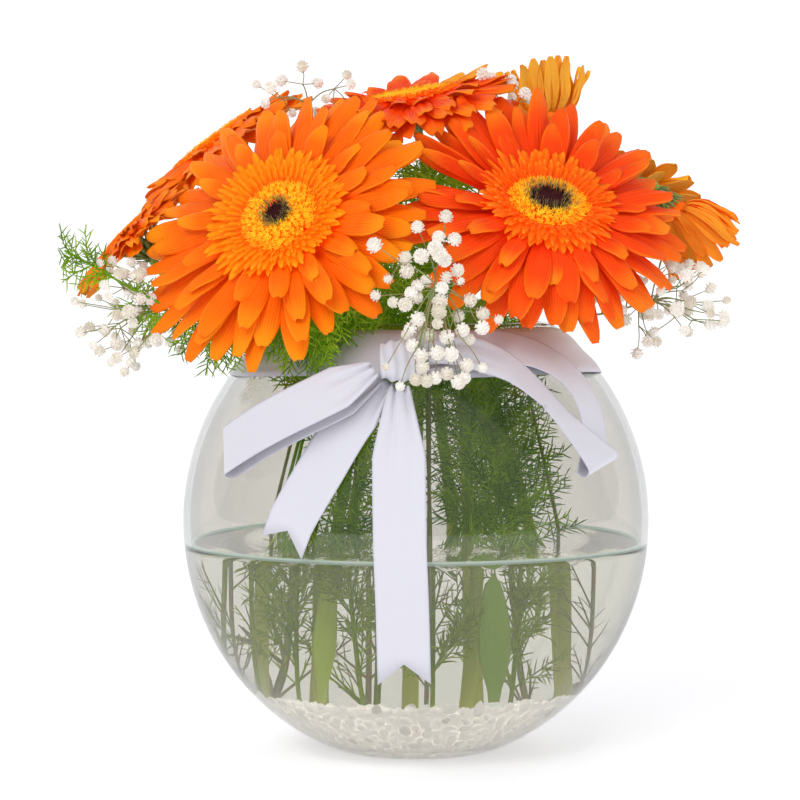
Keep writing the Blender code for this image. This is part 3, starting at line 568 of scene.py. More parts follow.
middle = total((start, rest ** 3.0), (lead, 3 * rest ** 2.0 * share),
               (arrive, 3 * rest * share ** 2.0), (stop, share ** 3.0))
heading = leaves.vector("NORMALIZE", total(
    (leaves.vector("SUBTRACT", lead, start), rest ** 2.0),
    (leaves.vector("SUBTRACT", arrive, lead), 2 * rest * share),
    (leaves.vector("SUBTRACT", stop, arrive), share ** 2.0)))
turn = leaves.named("twist") * share
side = total((level, turn.cosine()), (square_to(heading, level), turn.sine()))
end = ((along - shoulder) / (1 - shoulder)).clamped()
width = half_width * (root_width + (1 - root_width) * along.smooth(0.0, widest))
width = width * (1.0001 - end ** roundness) ** 0.5
lift = cup * half_width * across ** 2.0 + groove * (across * 8.6).cosine() * (along * 3.1).sine()
lift = lift + (ruffle * across ** 2.0
               * (along * 11.0 + leaves.named("tone") * 40.0).sine() * along)
lift = lift + over * thickness * (1 - 0.5 * along)
leaves.close(leaves.node("GeometryNodeSetPosition", {
    "Geometry": leaves.node("GeometryNodeRealizeInstances", {
        "Geometry": leaves.node("GeometryNodeInstanceOnPoints", {
            "Points": leaves.given["Geometry"], "Instance": leaves.shape("Leaf")})}),
    "Position": total((middle, 1.0), (side, across * width), (square_to(heading, side), lift))}))


def leaf_points(blades):
    """Points for the leaves. A blade is its path, its side, half width, twist and tone."""
    paths, sides, half_widths, twists, tones = zip(*blades)
    mesh = new_mesh("leaf_points", [path[0] for path in paths])
    mark(mesh, **dict(zip(("start", "lead", "arrive", "stop"), zip(*paths))))
    return mark(mesh, side=sides, half_width=half_widths, twist=twists, tone=tones)


def merge(name, parts):
    """Joins finished meshes into one object."""
    with bpy.context.temp_override(active_object=parts[0], selected_editable_objects=parts,
                                   selected_objects=parts):
        bpy.ops.object.join()
    parts[0].name = parts[0].data.name = name
    return parts[0]


class Bloom:
    """Where a flower head sits, which way it faces and how its petals hang.

    Its centre, neck and foot are given in millimetres, its angles in degrees. droop is the
    mean angle of the petals below the flower's own plane, sag is how much more they hang at
    the angle hang, opened is the size of the middle, and the petals are longer by a
    share at the angle towards."""

    facts = ("name", "centre", "facing", "reach", "droop", "sag", "colour", "neck", "foot",
             "opened", "hang", "longer", "towards")
    opened = 1.0
    hang = longer = towards = 0

    def __init__(self, *values):
        vars(self).update(zip(self.facts, values))
        centre, self.neck, self.foot = metres(self.centre, self.neck, self.foot)
        self.centre = Vector(centre)
        self.facing = Vector(self.facing).normalized()
        self.dome = 0.3 if self.name in "chi" else 1.0
        self.down = (Vector((0, 0, -1)) + self.facing.z * self.facing).normalized()
        self.side = self.facing.cross(self.down)

    def place(self, out, angle, height):
        flat = self.down * math.cos(angle) + self.side * math.sin(angle)
        return self.centre + flat * out + self.facing * height

    def way(self, angle, out=1.0, up=0.0):
        return self.place(out, angle, up) - self.centre

    def across(self, angle):
        return self.way(angle + math.pi / 2)


BLOOMS = [
    Bloom("a", (-55, -55, 226), (-0.36, -0.79, 0.50), 0.0735, 4, 6, "orange",
          (-22, -24), (-34, -30), 1.0, 225, 0.10, 240),
    Bloom("b", (54, -50, 231), (0.17, -0.588, 0.79), 0.0700, 2, 22, "red",
          (22, -24), (18, -34), 1.0, 0, 0.06, 180),
    Bloom("c", (-2, 4, 279.5), (-0.17, -0.12, 0.98), 0.052, -4, 12, "red",
          (2, 2), (-2, 4), 1.0, 55),
    Bloom("d", (59, 58, 277), (-0.10, 0.20, 0.97), 0.035, -80, 4, "gold",
          (12, 30), (16, 40), 0.58),
    Bloom("f", (88.5, 40, 240.5), (0.15, 0.34, 0.93), 0.046, -5, 8, "gold",
          (28, 16), (44, 22)),
    Bloom("g", (112.5, 2, 228), (0.64, 0.10, -0.70), 0.037, -82, 4, "orange",
          (32, -4), (50, -8), 0.55),
    Bloom("h", (-89.4, 48, 262.9), (-0.58, -0.06, 0.79), 0.050, 0, 8, "orange",
          (-20, 22), (-28, 30), 1.0, 90),
    Bloom("i", (-123.6, 8, 221.8), (-0.70, -0.03, 0.70), 0.038, 0, 6, "orange",
          (-32, 4), (-50, 6), 0.80, 90),
]

# The stems glow a little in their own colour: painted light that brightens them in and above the
# glass.
stem_green = Finish("gerbera_stem", {"IOR": 1.45, "Sheen Weight": 0.25, "Sheen Roughness": 0.4,
                                     "Emission Strength": 0.14})
mottle = stem_green.noise(260.0, 3.0, stem_green.place((1.0, 1.0, 0.12)))
stem_green.dress((170, 178, 70), (stem_green.attribute("along").smooth(0.0, 0.5), (126, 160, 60)),
                 (mottle.smooth(0.5, 0.72) * 0.4, (148, 122, 70)),
                 roughness=0.42 + 0.25 * mottle, painted_glow=True)
stem_green.bump(stem_green.noise(1500.0, 2.0, stem_green.place((1.0, 1.0, 0.05))), 0.0003, 0.6)

bract_green = Finish("gerbera_bracts", {"IOR": 1.45, "Sheen Weight": 0.3, "Sheen Roughness": 0.4})
bract_edge = bract_green.attribute("across").size().smooth(0.55, 1.0)
bract_green.dress((96, 132, 48), (bract_green.attribute("along"), (140, 152, 66)),
                  (bract_edge * 0.7, (66, 92, 36)), roughness=0.5 + 0.2 * bract_green.noise(500.0))
bract_green.bump(bract_green.noise(1800.0, 2.0), 0.0002, 0.5)

bract_leaf = leaf_template("bract_leaf", 2, (0.0, 0.3, 0.6, 0.85, 1.0))
# Rows of bracts: how many, where they start below the head, how high they reach, how far out
BRACT_ROWS = [(13, -CALYX_DEPTH, 0.35, 0.0092), (15, -CALYX_DEPTH * 0.85, 0.7, 0.0110),
              (17, -CALYX_DEPTH * 0.6, 1.0, 0.0135)]
BRACT_ROOT = 0.0030

for bloom in BLOOMS:
    behind = bloom.place(0.0, 0.0, -0.036 * bloom.opened)
    route = [Vector((*bloom.neck, NECK_Z)), behind,
             bloom.place(0.0, 0.0, -HUB_DEPTH - CALYX_DEPTH * 0.6)]
    if bloom.facing.z < 0:
        route.insert(1, behind - Vector((0.0145, 0.0, 0.0070)))
    path = standing_path(bloom.foot, route, 34)
    stem = stalks.run("stem_" + bloom.name, line_mesh([(path, STEM_RADIUS, STEM_TIP_RADIUS, 0.0)]),
                      stem_green, ("along", "tone"), Sides=14)
    bracts = []
    for row, (count, low, high, reach_out) in enumerate(BRACT_ROWS):
        for number in range(count):
            angle = math.tau * (number + row / 3) / count
            spots = []
            for climbed in [step / 3 for step in range(4)]:
                height = -HUB_DEPTH + low + (-low + 0.0006) * high * climbed
                flare = BRACT_ROOT + (reach_out - BRACT_ROOT) * math.sin(climbed * 1.45) ** 0.8
                spots.append(bloom.place((flare + 0.0005 * (2 - row)) * bloom.opened, angle,
                                         height))
            bracts.append((spots, -bloom.across(angle), 0.0016 * bloom.opened * (1 + 0.15 * row),
                           0.0, (number * 0.618) % 1))
    calyx = leaves.run("bracts_" + bloom.name, leaf_points(bracts), bract_green,
                       ("along", "across", "tone"), Leaf=bract_leaf, Widest=0.3, Foot=0.7,
                       Shoulder=0.35, Roundness=1.2, Cup=-0.25, Thickness=0.00025)
    settle(merge("stem_" + bloom.name, [stem, calyx]), f"gerbera_{bloom.name}_stem")


# Stem leaves. Two strap-like lily leaves that stand in the water beside the stems,
# fresh green, with parallel veins. They only touch the gravel and the stems.

# The leaves glow a little in their own colour: painted light that brightens them in the water.
strap = Finish("strap_leaf", {"IOR": 1.45, "Emission Strength": 0.16})
veins = ((strap.attribute("across") * 46.0).sine() * 0.5 + 0.5) ** 2.0
strap.dress((138, 170, 56), (strap.attribute("tone"), (196, 214, 84)),
            (veins * 0.35, (84, 130, 44)), roughness=0.35 + 0.2 * veins, painted_glow=True)
strap.bump(veins, 0.0002, 0.5)

strap_leaf = leaf_template("strap_leaf_shape", 6, (0.0, 0.12, 0.25, 0.4, 0.55, 0.7, 0.82, 0.92,
                                                   1.0))
for name, foot, top, half, tone in (
        ("right", (0.030, -0.052), (0.028, -0.050, 0.083), 0.0065, 0.1),
        ("left", (-0.036, -0.050), (-0.030, -0.048, 0.084), 0.0050, 0.8)):
    low, high = Vector((*foot, STEM_FOOT_Z)), Vector(top)
    blade = ([low.lerp(high, step / 3) for step in range(4)], Vector((1, 0.25, 0)).normalized(),
             half, 0.25, tone)
    leaf = leaves.run("strap_leaf_" + name, leaf_points([blade]), strap,
                      ("along", "across", "tone"), Leaf=strap_leaf, Widest=0.45, Foot=0.35,
                      Shoulder=0.5, Roundness=1.6, Cup=0.15, Ruffle=0.0004, Thickness=0.0004)
    settle(leaf, "leaf_" + name)


# Asparagus fern. Wiry branched fronds with needle-like green cladodes a few
# millimetres long, in soft tufts. They stand among the stems, some up among the
# flowers and some inside the bowl.

# Each fern: its foot and its route in millimetres, where its twigs start, how many they
# are, how long, how they point along the stem and out from it, and how they bend up or down
FERNS = [
    ("left", [(-56, -12), (-40, -16, 184), (-68, -30, 192), (-86, -40, 176)],
     0.52, 100, 0.025, (0.6, 1.0, -0.11)),
    ("front_left", [(-44, -36), (-26, -40, 184), (-38, -60, 193), (-50, -80, 181)],
     0.52, 120, 0.026, (0.5, 1.0, -0.13)),
    ("centre", [(6, -46), (4, -16, 180), (6, -22, 222), (12, -24, 256)],
     0.50, 130, 0.026, (0.7, 1.0, 0.01)),
    ("far_left", [(-60, 18), (-42, -4, 186), (-92, -36, 186), (-146, -34, 213)],
     0.54, 76, 0.016, (0.7, 1.0, -0.02)),
    ("inside_right", [(34, -30), (32, -22, 120), (26, -18, 150), (20, -12, 186)],
     0.20, 190, 0.030, (0.3, 1.0, 0.02)),
    ("inside_left", [(-20, -52), (-24, -34, 130), (-12, -30, 178), (-4, -44, 198)],
     0.20, 104, 0.022, (0.4, 1.0, 0.02)),
    ("back", [(-10, 56), (-10, 40, 184), (-12, 64, 204), (-14, 86, 208)],
     0.58, 36, 0.021, (0.7, 0.9, -0.05)),
]
NEEDLE_LENGTH = 0.0088
NEEDLE_SPACING = 0.00095
NEEDLE_RADIUS = 0.00032
LEAST_NEEDLE = 0.002
TWIG_STEPS = 7
FINE_PATH = 30
SPIRAL = 2.4
GLASS_MARGIN = 0.0015
MOUTH_MARGIN = 0.004
WET_NEEDLES = 9

scatter = Maker("scatter", Shape="Object")
spin = scatter.node("ShaderNodeCombineXYZ", {"Z": scatter.named("spin")})
aimed = scatter.node("FunctionNodeAlignRotationToVector",
                     {"Vector": scatter.named("aim", "FLOAT_VECTOR")}, axis="Z")
scatter.close(scatter.node("GeometryNodeInstanceOnPoints", {
    "Points": scatter.given["Geometry"], "Instance": scatter.shape("Shape"),
    "Rotation": scatter.node("FunctionNodeRotateRotation", {
        0: aimed, 1: scatter.node("FunctionNodeEulerToRotation", {0: spin})},
        rotation_space="LOCAL"),
    "Scale": scatter.named("size", "FLOAT_VECTOR")}))


def scattered(name, spots, shape, finish):
    """A small shape repeated. A spot is its place, aim, spin, size and tone."""
    places, aims, spins, sizes, tones = zip(*spots)
    points = new_mesh("scatter_points", places)
    mark(points, aim=aims, size=sizes, spin=spins, tone=tones)
    return scatter.run(name, points, finish, Shape=shape)


def needle_shape():
    """One needle along +Z, one long and one in radius, a little bent to its point."""
    points = [*circle(3, 0.8, 0.0), *circle(3, 1.0, 0.6, aside=0.6), (2.0, 0.0, 1.0)]
    faces = [(2, 1, 0)]
    for corner, after in ((0, 1), (1, 2), (2, 0)):
        faces += [(corner, after, after + 3, corner + 3), (corner + 3, after + 3, 6)]
    return points, faces


needle = template("needle_shape", *needle_shape())

# The fronds glow a little in their own colour: painted light that brightens them among the flowers
# and inside the glass.
fern_green = Finish("fern_green", {"IOR": 1.45, "Specular IOR Level": 0.0,
                                   "Emission Strength": 0.18})
depth = fern_green.node("ShaderNodeSeparateXYZ", {"Vector": fern_green.place()}, "Z")
under_water = depth.smooth(WATER_TOP + 0.004, WATER_TOP - 0.006)
fern_green.dress((72, 122, 20), (fern_green.attribute("tone"), (168, 200, 50)),
                 (fern_green.noise(60.0).smooth(0.45, 0.7) * 0.4, (38, 84, 30)),
                 (under_water * 0.38, (150, 146, 16)),
                 roughness=0.45 + 0.2 * fern_green.noise(800.0), painted_glow=True)
fern_green.bump(fern_green.noise(2500.0), 0.0001, 0.4)


def leaning(way, turn, onward, sideways):
    """A direction that goes on along the way and out to a side, turned about it."""
    helper = Vector((0, 0, 1)) if abs(way.z) < 0.9 else Vector((1, 0, 0))
    first = way.cross(helper).normalized()
    side = first * math.cos(turn) + way.cross(first) * math.sin(turn)
    return (way * onward + side * sideways).normalized()


def along_path(path, place):
    """The point at a place on the path, counted in its steps, and the step it is on."""
    low = min(len(path) - 2, int(place))
    return path[low].lerp(path[low + 1], place - low), path[low + 1] - path[low]


def keep_inside(point):
    """Below the mouth, a point is kept off the glass, on the inside."""
    flat = math.hypot(point.x, point.y)
    limit = bowl_radius(point.z, WALL + GLASS_MARGIN)
    if point.z < BOWL_HEIGHT - MOUTH_MARGIN and flat > limit:
        return Vector((point.x * limit / flat, point.y * limit / flat, point.z))
    return point


def behind_petals(point):
    """A point in front of the two large flowers' petals goes back behind them."""
    for bloom in BLOOMS[:2]:
        offset = point - bloom.centre
        height = offset.dot(bloom.facing)
        out = (offset - bloom.facing * height).length
        room = -0.009 - 0.12 * out
        if out < bloom.reach * 1.04 and room < height < 0.03:
            point = point - bloom.facing * (height - room)
    return point


def boxed(point, margin):
    """Keeps a point inside the CAD model's box, by the margin."""
    return Vector([min(max(value, low + margin), high - margin)
                   for value, low, high in zip(point, cad_low, cad_high)])


def side_shoots(draw, path, count, length):
    """Bare forked shoots on the part of a stem that stands in the water."""
    wet = [point for point in path if STEM_FOOT_Z + 0.006 < point.z < WATER_TOP - 0.006]
    shoots = []
    for number in range(count):
        root = draw.choice(wet)
        turn = draw.uniform(0, math.tau)
        way = Vector((math.cos(turn), math.sin(turn), draw.uniform(0.5, 1.6))).normalized()
        reach = length * draw.uniform(0.5, 1.1)
        spots = [keep_inside(root + way * reach * step / 5 + Vector((0, 0, 0.0006 * step)))
                 for step in range(6)]
        shoots.append((spots, 0.00042, 0.0002, draw.uniform(0.1, 0.6)))
        for step in (2, 3, 4):
            fork = leaning(way, draw.uniform(0, 6.3), 1.0, draw.uniform(0.5, 1.1))
            tips = [keep_inside(spots[step] + fork * reach * draw.uniform(0.12, 0.2) * part)
                    for part in range(4)]
            shoots.append((tips, 0.00022, 0.00012, draw.uniform(0.2, 0.8)))
    return shoots


def add_needle(needles, draw, root, tip, tone, least, most):
    """A needle from its root to its tip, where there is room for one."""
    way = tip - root
    if way.length > LEAST_NEEDLE:
        needles.append((root, way.normalized(), draw.uniform(0, 6.3),
                        (NEEDLE_RADIUS, NEEDLE_RADIUS, way.length),
                        min(1.0, tone + draw.uniform(least, most))))


for name, places, start_share, twigs, length, (onward, sideways, bend) in FERNS:
    node = "fern_" + name
    draw = random.Random(node)
    foot, *route = metres(*places)
    path = standing_path(foot, route, FINE_PATH)
    clear = keep_inside if "inside" in name else behind_petals
    leafy = foot[0] > -0.05 and foot[1] < 0
    shoots = side_shoots(draw, path, 18 if leafy else 6, 0.026 if leafy else 0.018)
    stems = [(path, 0.0010, 0.0005, 0.25), *shoots]
    needles = []
    for spots in [shoot[0] for shoot in shoots if leafy]:
        for number in range(WET_NEEDLES):
            root, way = along_path(spots, draw.uniform(0.15, 1.0) * (len(spots) - 1))
            aim = leaning(way.normalized(), draw.uniform(0, 6.3), 0.7, 0.8)
            tip = keep_inside(root + aim * NEEDLE_LENGTH * draw.uniform(0.6, 1.0))
            tip.z = min(tip.z, WATER_TOP - 0.001)
            add_needle(needles, draw, root, tip, 0.0, 0.3, 1.0)
    for number in range(twigs):
        share = start_share + (1 - start_share) * number / (twigs - 1) * 0.98
        spot, way = along_path(path, share * (len(path) - 1))
        turn = number * SPIRAL + draw.uniform(-0.4, 0.4)
        aim = leaning(way.normalized(), turn, onward, sideways)
        reach = length * draw.uniform(0.75, 1.15) * (1.0 if share < 0.85 else 0.75)
        tone = draw.uniform(0.1, 0.9)
        spots = [spot]
        for part in range(TWIG_STEPS):
            aim = (aim + Vector((0, 0, bend))).normalized()
            spot = clear(spot + aim * reach / TWIG_STEPS)
            spots.append(boxed(spot, 0.002))
        stems.append((spots, 0.00035, 0.00015, tone * 0.6))
        count = int(reach / NEEDLE_SPACING)
        for part in range(count):
            at = (part + 1) / count
            root, way = along_path(spots, at * TWIG_STEPS)
            if way.length < 1e-6:
                continue
            aim = leaning(way.normalized(), part * SPIRAL + draw.uniform(-0.3, 0.3),
                          draw.uniform(0.5, 0.8), draw.uniform(0.6, 0.9))
            size = NEEDLE_LENGTH * draw.uniform(0.75, 1.1) * (1 - 0.25 * at)
            tip = boxed(clear(root + aim * size), 0.001)
            add_needle(needles, draw, root, tip, tone, -0.1, 0.15)
    wiry = stalks.run(node + "_stems", line_mesh(stems), fern_green, Sides=5)
    tufts = scattered(node + "_needles", needles, needle, fern_green)
    settle(merge("frond_" + name, [wiry, tufts]), node)


# Baby's breath. Small double white flowers like ruffled balls, about 6 mm across, at
# the ends of very fine forked twigs. Each spray's stem stands in the water.

POM_RADIUS = 0.0031
# Each spray: its foot and its route, then its cloud's middle and half sizes, all in
# millimetres, and how many flowers it has. The front one has its own list of flowers.
SPRAYS = [
    ("front", [(4, -58), (6, -42, 184), (7, -72, 204), (8, -93, 199)]),
    ("left", [(-62, -4), (-44, -8, 185), (-78, -24, 188), (-108, -30, 188)],
     (-118, -28, 186), (28, 22, 26), 60),
    ("right", [(60, -10), (44, -12, 185), (74, -26, 186), (98, -30, 192)],
     (104, -30, 194), (28, 20, 26), 56),
    ("top_right", [(30, 44), (14, 10, 184), (26, 6, 235), (38, 8, 274)],
     (38, 6, 280), (16, 12, 14), 10),
    ("top_left", [(-14, 22), (-12, 4, 184), (-32, -4, 235), (-46, 0, 276)],
     (-46, -2, 281), (30, 16, 14), 15),
    ("back", [(-34, 56), (-24, 42, 185), (-34, 70, 198), (-40, 88, 204)],
     (-38, 86, 204), (34, 16, 24), 22),
]
# The front cluster over the knot: how far right and up each flower is, and its depth
# towards the front, in millimetres, with its width
FRONT_FLOWERS = [
    (-16.1, 214.0, 98, 6.6), (0.7, 221.2, 88, 5.6), (11.8, 225.3, 86, 6.0), (9.0, 217.3, 88, 5.6),
    (15.1, 216.5, 88, 5.8), (7.6, 213.1, 92, 6.4), (9.3, 210.5, 94, 6.4), (11.2, 208.5, 92, 5.8),
    (2.1, 209.9, 92, 6.4), (-4.5, 208.8, 93, 6.2), (-3.9, 204.3, 95, 6.4), (16.2, 204.6, 88, 5.6),
    (11.8, 201.3, 92, 5.4), (17.3, 199.9, 90, 4.0), (10.1, 197.4, 94, 5.4), (4.3, 199.9, 90, 5.8),
    (1.0, 198.2, 93, 5.8), (-10.6, 201.3, 92, 4.4), (-15.6, 194.4, 90, 4.8), (-1.7, 195.5, 95, 5.6),
    (-8.9, 191.9, 94, 4.6), (-4.2, 191.1, 95, 5.8), (0.0, 193.8, 92, 5.6), (9.3, 192.2, 95, 6.2),
    (9.0, 188.3, 96, 6.2), (20.9, 192.7, 92, 6.0), (0.7, 185.5, 95, 6.2), (-2.0, 181.7, 94, 5.4),
    (2.6, 182.8, 92, 5.4), (8.5, 183.6, 97, 4.6), (25.9, 187.2, 90, 6.2), (25.9, 182.0, 92, 6.0),
    (32.3, 185.0, 88, 4.4), (18.2, 181.1, 93, 5.8), (16.5, 186.6, 88, 5.4), (12.1, 178.4, 95, 6.0),
    (4.9, 179.5, 93, 5.6), (-1.2, 175.1, 95, 5.6), (8.2, 172.3, 98, 6.0), (13.7, 171.7, 97, 6.2),
    (2.1, 171.2, 97, 5.8), (19.8, 167.4, 96, 5.8), (25.9, 166.3, 94, 4.4), (2.6, 166.8, 98, 5.6),
    (0.0, 161.9, 97, 5.4), (4.3, 161.4, 98, 5.6), (7.6, 162.5, 97, 5.4), (12.1, 164.1, 97, 5.4),
    (16.5, 160.8, 98, 6.0), (18.7, 162.5, 96, 5.8), (-6.1, 159.2, 97, 4.0), (-3.3, 179.5, 92, 5.0),
    (-11.7, 166.8, 96, 3.6), (21.0, 177.3, 90, 4.6),
]


def pom_shape():
    """A double flower: five rings of small cupped petals round a ball, one in radius."""
    points, faces = [], []
    for tilt, count, offset in ((12, 4, 0.0), (38, 7, 0.4), (68, 9, 0.1), (100, 9, 0.5),
                                (132, 6, 0.2)):
        polar = math.radians(tilt)
        for angle in [math.tau * (number + offset) / count for number in range(count)]:
            out = Vector((math.sin(polar) * math.cos(angle), math.sin(polar) * math.sin(angle),
                          math.cos(polar)))
            across = Vector((-math.sin(angle), math.cos(angle), 0.0))
            along = across.cross(out)
            a = len(points)
            for reach, height, half in ((0.0, 0.30, 0.10), (0.18, 0.80, 0.27), (0.42, 1.0, 0.22)):
                for column in (-1, 0, 1):
                    dip = 0.10 if column == 0 and reach else 0.0
                    points.append(out * (height - dip) - along * reach * 0.9
                                  + across * half * column)
            faces += [(b, b + 1, b + 4, b + 3) for b in (a, a + 1, a + 3, a + 4)]
    return points, faces


pom = template("pom_shape", *pom_shape())
pom_core = template("pom_core", *lathe([(0.0, 0.72), (0.5, 0.5), (0.7, 0.0), (0.45, -0.5),
                                        (0.0, -0.8)], 7))

# The flowers glow a little in their own colour: painted light that lifts their shaded sides.
cream = Finish("babys_breath_petals", {"Sheen Weight": 0.2, "Emission Strength": 0.12})
cream.dress((243, 239, 233), (cream.attribute("tone"), (224, 216, 200)),
            (cream.noise(700.0).smooth(0.5, 0.8) * 0.25, (206, 208, 176)),
            roughness=0.5 + 0.3 * cream.noise(1200.0), painted_glow=True)
cream.bump(cream.noise(1600.0), 0.0002, 0.4)

# The twigs glow a little with a grey-green: painted light.
twig_green = Finish("babys_breath_twigs", {"IOR": 1.45, "Emission Strength": 0.12,
                                           "Emission Color": paint(136, 140, 90)})
twig_mottle = twig_green.noise(200.0, 3.0)
twig_green.dress((130, 146, 92), (twig_mottle.smooth(0.35, 0.7), (146, 122, 84)),
                 roughness=0.5 + 0.2 * twig_mottle)
twig_green.bump(twig_green.noise(2000.0), 0.0001, 0.4)


def cloud_flowers(draw, middle, half_sizes, flowers):
    """Places and sizes of a spray's flowers, spread in a cloud and clear of each other."""
    chosen = []
    middle, half_sizes = metres(middle, half_sizes)
    for attempt in range(flowers * 40):
        if len(chosen) == flowers:
            break
        offset = [draw.uniform(-1, 1) for axis in range(3)]
        if sum(value * value for value in offset) > 1:
            continue
        centre = Vector(middle) + Vector([a * b for a, b in zip(offset, half_sizes)])
        size = POM_RADIUS * draw.uniform(0.62, 1.0)
        centre = boxed(centre, size + 0.0003)
        if min([(centre - other).length for other, width in chosen], default=1) > 1.5 * size:
            chosen.append((centre, size))
    return chosen


for name, places, *cloud in SPRAYS:
    node = "babys_breath_" + name
    draw = random.Random(node)
    foot, *route = metres(*places)
    path = standing_path(foot, route, FINE_PATH)
    if cloud:
        chosen = cloud_flowers(draw, *cloud)
    else:
        chosen = [(boxed(Vector((x, -depth, z)) / 1000, width / 2000 + 0.0002), width / 2000)
                  for x, z, depth, width in FRONT_FLOWERS]
    twigs = [(path, 0.0010, 0.0004, 0.5), *side_shoots(draw, path, 10, 0.022)]
    spots, knots = [], []
    for centre, size in sorted(chosen, key=lambda item: -item[0].z):
        near = min(knots, key=lambda item: (item - centre).length, default=None)
        if near is None or (near - centre).length > 0.013:
            root = min(path[-10:],
                       key=lambda point: (point - centre).length - 0.3 * (centre.z - point.z))
            near = root.lerp(centre, 0.55) + Vector((draw.uniform(-1, 1), draw.uniform(-1, 1),
                                                     draw.uniform(-1.5, 0))) * 0.0022
            bow = root.lerp(near, 0.5) + Vector((0, 0, 0.0015))
            twigs.append((smooth_path([root, bow, near], 7), 0.00034, 0.00026, 0.5))
            knots.append(near)
        bow = near.lerp(centre, 0.5) + Vector((draw.uniform(-1, 1), draw.uniform(-1, 1), 0)) * 0.001
        twigs.append((smooth_path([near, bow, centre], 6), 0.00024, 0.00020, 0.5))
        aim = (centre - near).normalized() if (centre - near).length > 1e-5 else Vector((0, 0, 1))
        aim = (aim + Vector((0, -0.4, 0.5))).normalized()
        spots.append((centre, aim, draw.uniform(0, 6.3), (size, size, size),
                      draw.uniform(0, 1) ** 2))
    parts = [stalks.run(node + "_twigs", line_mesh(twigs), twig_green, Sides=5),
             scattered(node + "_flowers", spots, pom, cream),
             scattered(node + "_hearts", spots, pom_core, cream)]
    settle(merge("spray_" + name, parts), node)


# Flower heads. Rows of long orange ray petals round a shallow cup, each with fine
# lengthwise furrows, and shorter rays inside them. In the middle are a ring of
# yellow florets and the dark eye of florets that haven't opened.

# The colours of a petal's root, blade, tip and under side, and of an inner petal's blade
# and root
# A petal's darker root is partly its own colour and partly painted shade between the petals.
SHADES = {
    "orange": ((240, 60, 2), (252, 106, 2), (255, 158, 14), (250, 150, 40), (255, 128, 6),
               (251, 98, 3)),
    "red": ((226, 30, 4), (247, 70, 7), (253, 140, 22), (246, 122, 36), (253, 96, 10),
            (246, 68, 6)),
    "gold": ((244, 104, 8), (251, 164, 18), (255, 196, 44), (252, 180, 60), (254, 160, 24),
             (250, 120, 10)),
}
# Rows of petals: how many, reach, half width, height of the root, lift, and the root's radius
ROWS = [(22, 0.99, 0.0060, -0.0034, -6, 0.0110), (22, 0.94, 0.0060, -0.0022, 0, 0.0112),
        (18, 0.84, 0.0056, -0.0010, 6, 0.0118), (14, 0.66, 0.0046, 0.0000, 11, 0.0124)]
STAR_ROWS = [(46, 0.47, 0.0024, 0.0006, 11, 0.0146), (52, 0.43, 0.0019, 0.0012, 17, 0.0154),
             (52, 0.37, 0.0015, 0.0018, 25, 0.0160), (50, 0.32, 0.0012, 0.0022, 33, 0.0163)]
PETAL_STEPS = 24


def petal_finish(name, glow, root, blade, tip, under):
    """A petal's colours, from its root to its tip, with its furrows and fine veins."""
    # The petals glow in their own colour, the short inner ones more: painted light for the light
    # that shines through them.
    made = Finish(name, {"IOR": 1.4, "Specular IOR Level": 0.25, "Emission Strength": glow})
    along, across, tone, over = map(made.attribute, ("along", "across", "tone", "over"))
    patchy = made.noise(90.0, 3.0)
    rim = across.size().smooth(0.72, 1.0) * along.smooth(0.45, 0.8)
    # Fine dark lines along the petal: its veins, and painted shade in its furrows.
    lines = ((across * 31.0 + patchy * 2.0).sine() * 0.5 + 0.5) ** 3.0
    # Darker and redder towards the root: partly the petal's own colour, partly painted shade
    # between the petals near the middle.
    made.dress(root, (along.smooth(0.05, 0.6), blade),
               (along.smooth(0.66, 1.0) * (0.2 + 0.8 * tone), tip),
               (tone.smooth(0.96, 0.98) * along.smooth(0.25, 0.9), (252, 176, 26)),
               (rim * 0.5, tip), (lines * 0.26, root), (patchy.smooth(0.5, 0.8) * 0.3, root),
               (over.smooth(-0.2, -0.8), under), roughness=0.45 + 0.22 * patchy, painted_glow=True)
    made.bump(lines + 0.4 * made.noise(900.0), 0.00022, 0.6)
    return made


petal_finishes, star_finishes = {}, {}
# Outer petals glow at 0.06 and inner ones at 0.42: painted light.
for colour, (root, blade, tip, under, inner, inner_root) in SHADES.items():
    petal_finishes[colour] = petal_finish(colour + "_petals", 0.06, root, blade, tip, under)
    star_finishes[colour] = petal_finish(colour + "_inner_petals", 0.42, inner_root, inner, tip,
                                         under)

petal_leaf = leaf_template("petal_leaf", 8, (0.0, 0.1, 0.22, 0.36, 0.5, 0.62, 0.73, 0.82, 0.89,
                                             0.945, 0.98, 1.0))
star_leaf = leaf_template("star_leaf", 2, (0.0, 0.35, 0.7, 0.9, 1.0))


def petal_route(bloom, angle, share, rise, lift, out, bend):
    """A petal's path as four points, from its root on the cup to its tip."""
    droop = bloom.droop + bloom.sag * math.cos(angle - math.radians(bloom.hang)) - lift + bend
    reach = bloom.reach * (1 + bloom.longer * math.cos(angle - math.radians(bloom.towards)))
    out, rise = out * bloom.opened, rise * bloom.opened
    first = bloom.place(out, angle, rise)
    length, slopes = reach * share - out, []
    for at in [(step + 0.5) / PETAL_STEPS for step in range(PETAL_STEPS)]:
        slopes.append(math.radians(-droop * min(1.0, 0.25 + at / 0.35) - 9 * at * at))
        out += math.cos(slopes[-1]) * length / PETAL_STEPS
        rise += math.sin(slopes[-1]) * length / PETAL_STEPS
    last = bloom.place(out, angle, rise)
    leave, enter = [bloom.way(angle, math.cos(slope), math.sin(slope))
                    for slope in (slopes[0], slopes[-1])]
    return [first, first + leave * length * 0.36, last - enter * length * 0.36, last]


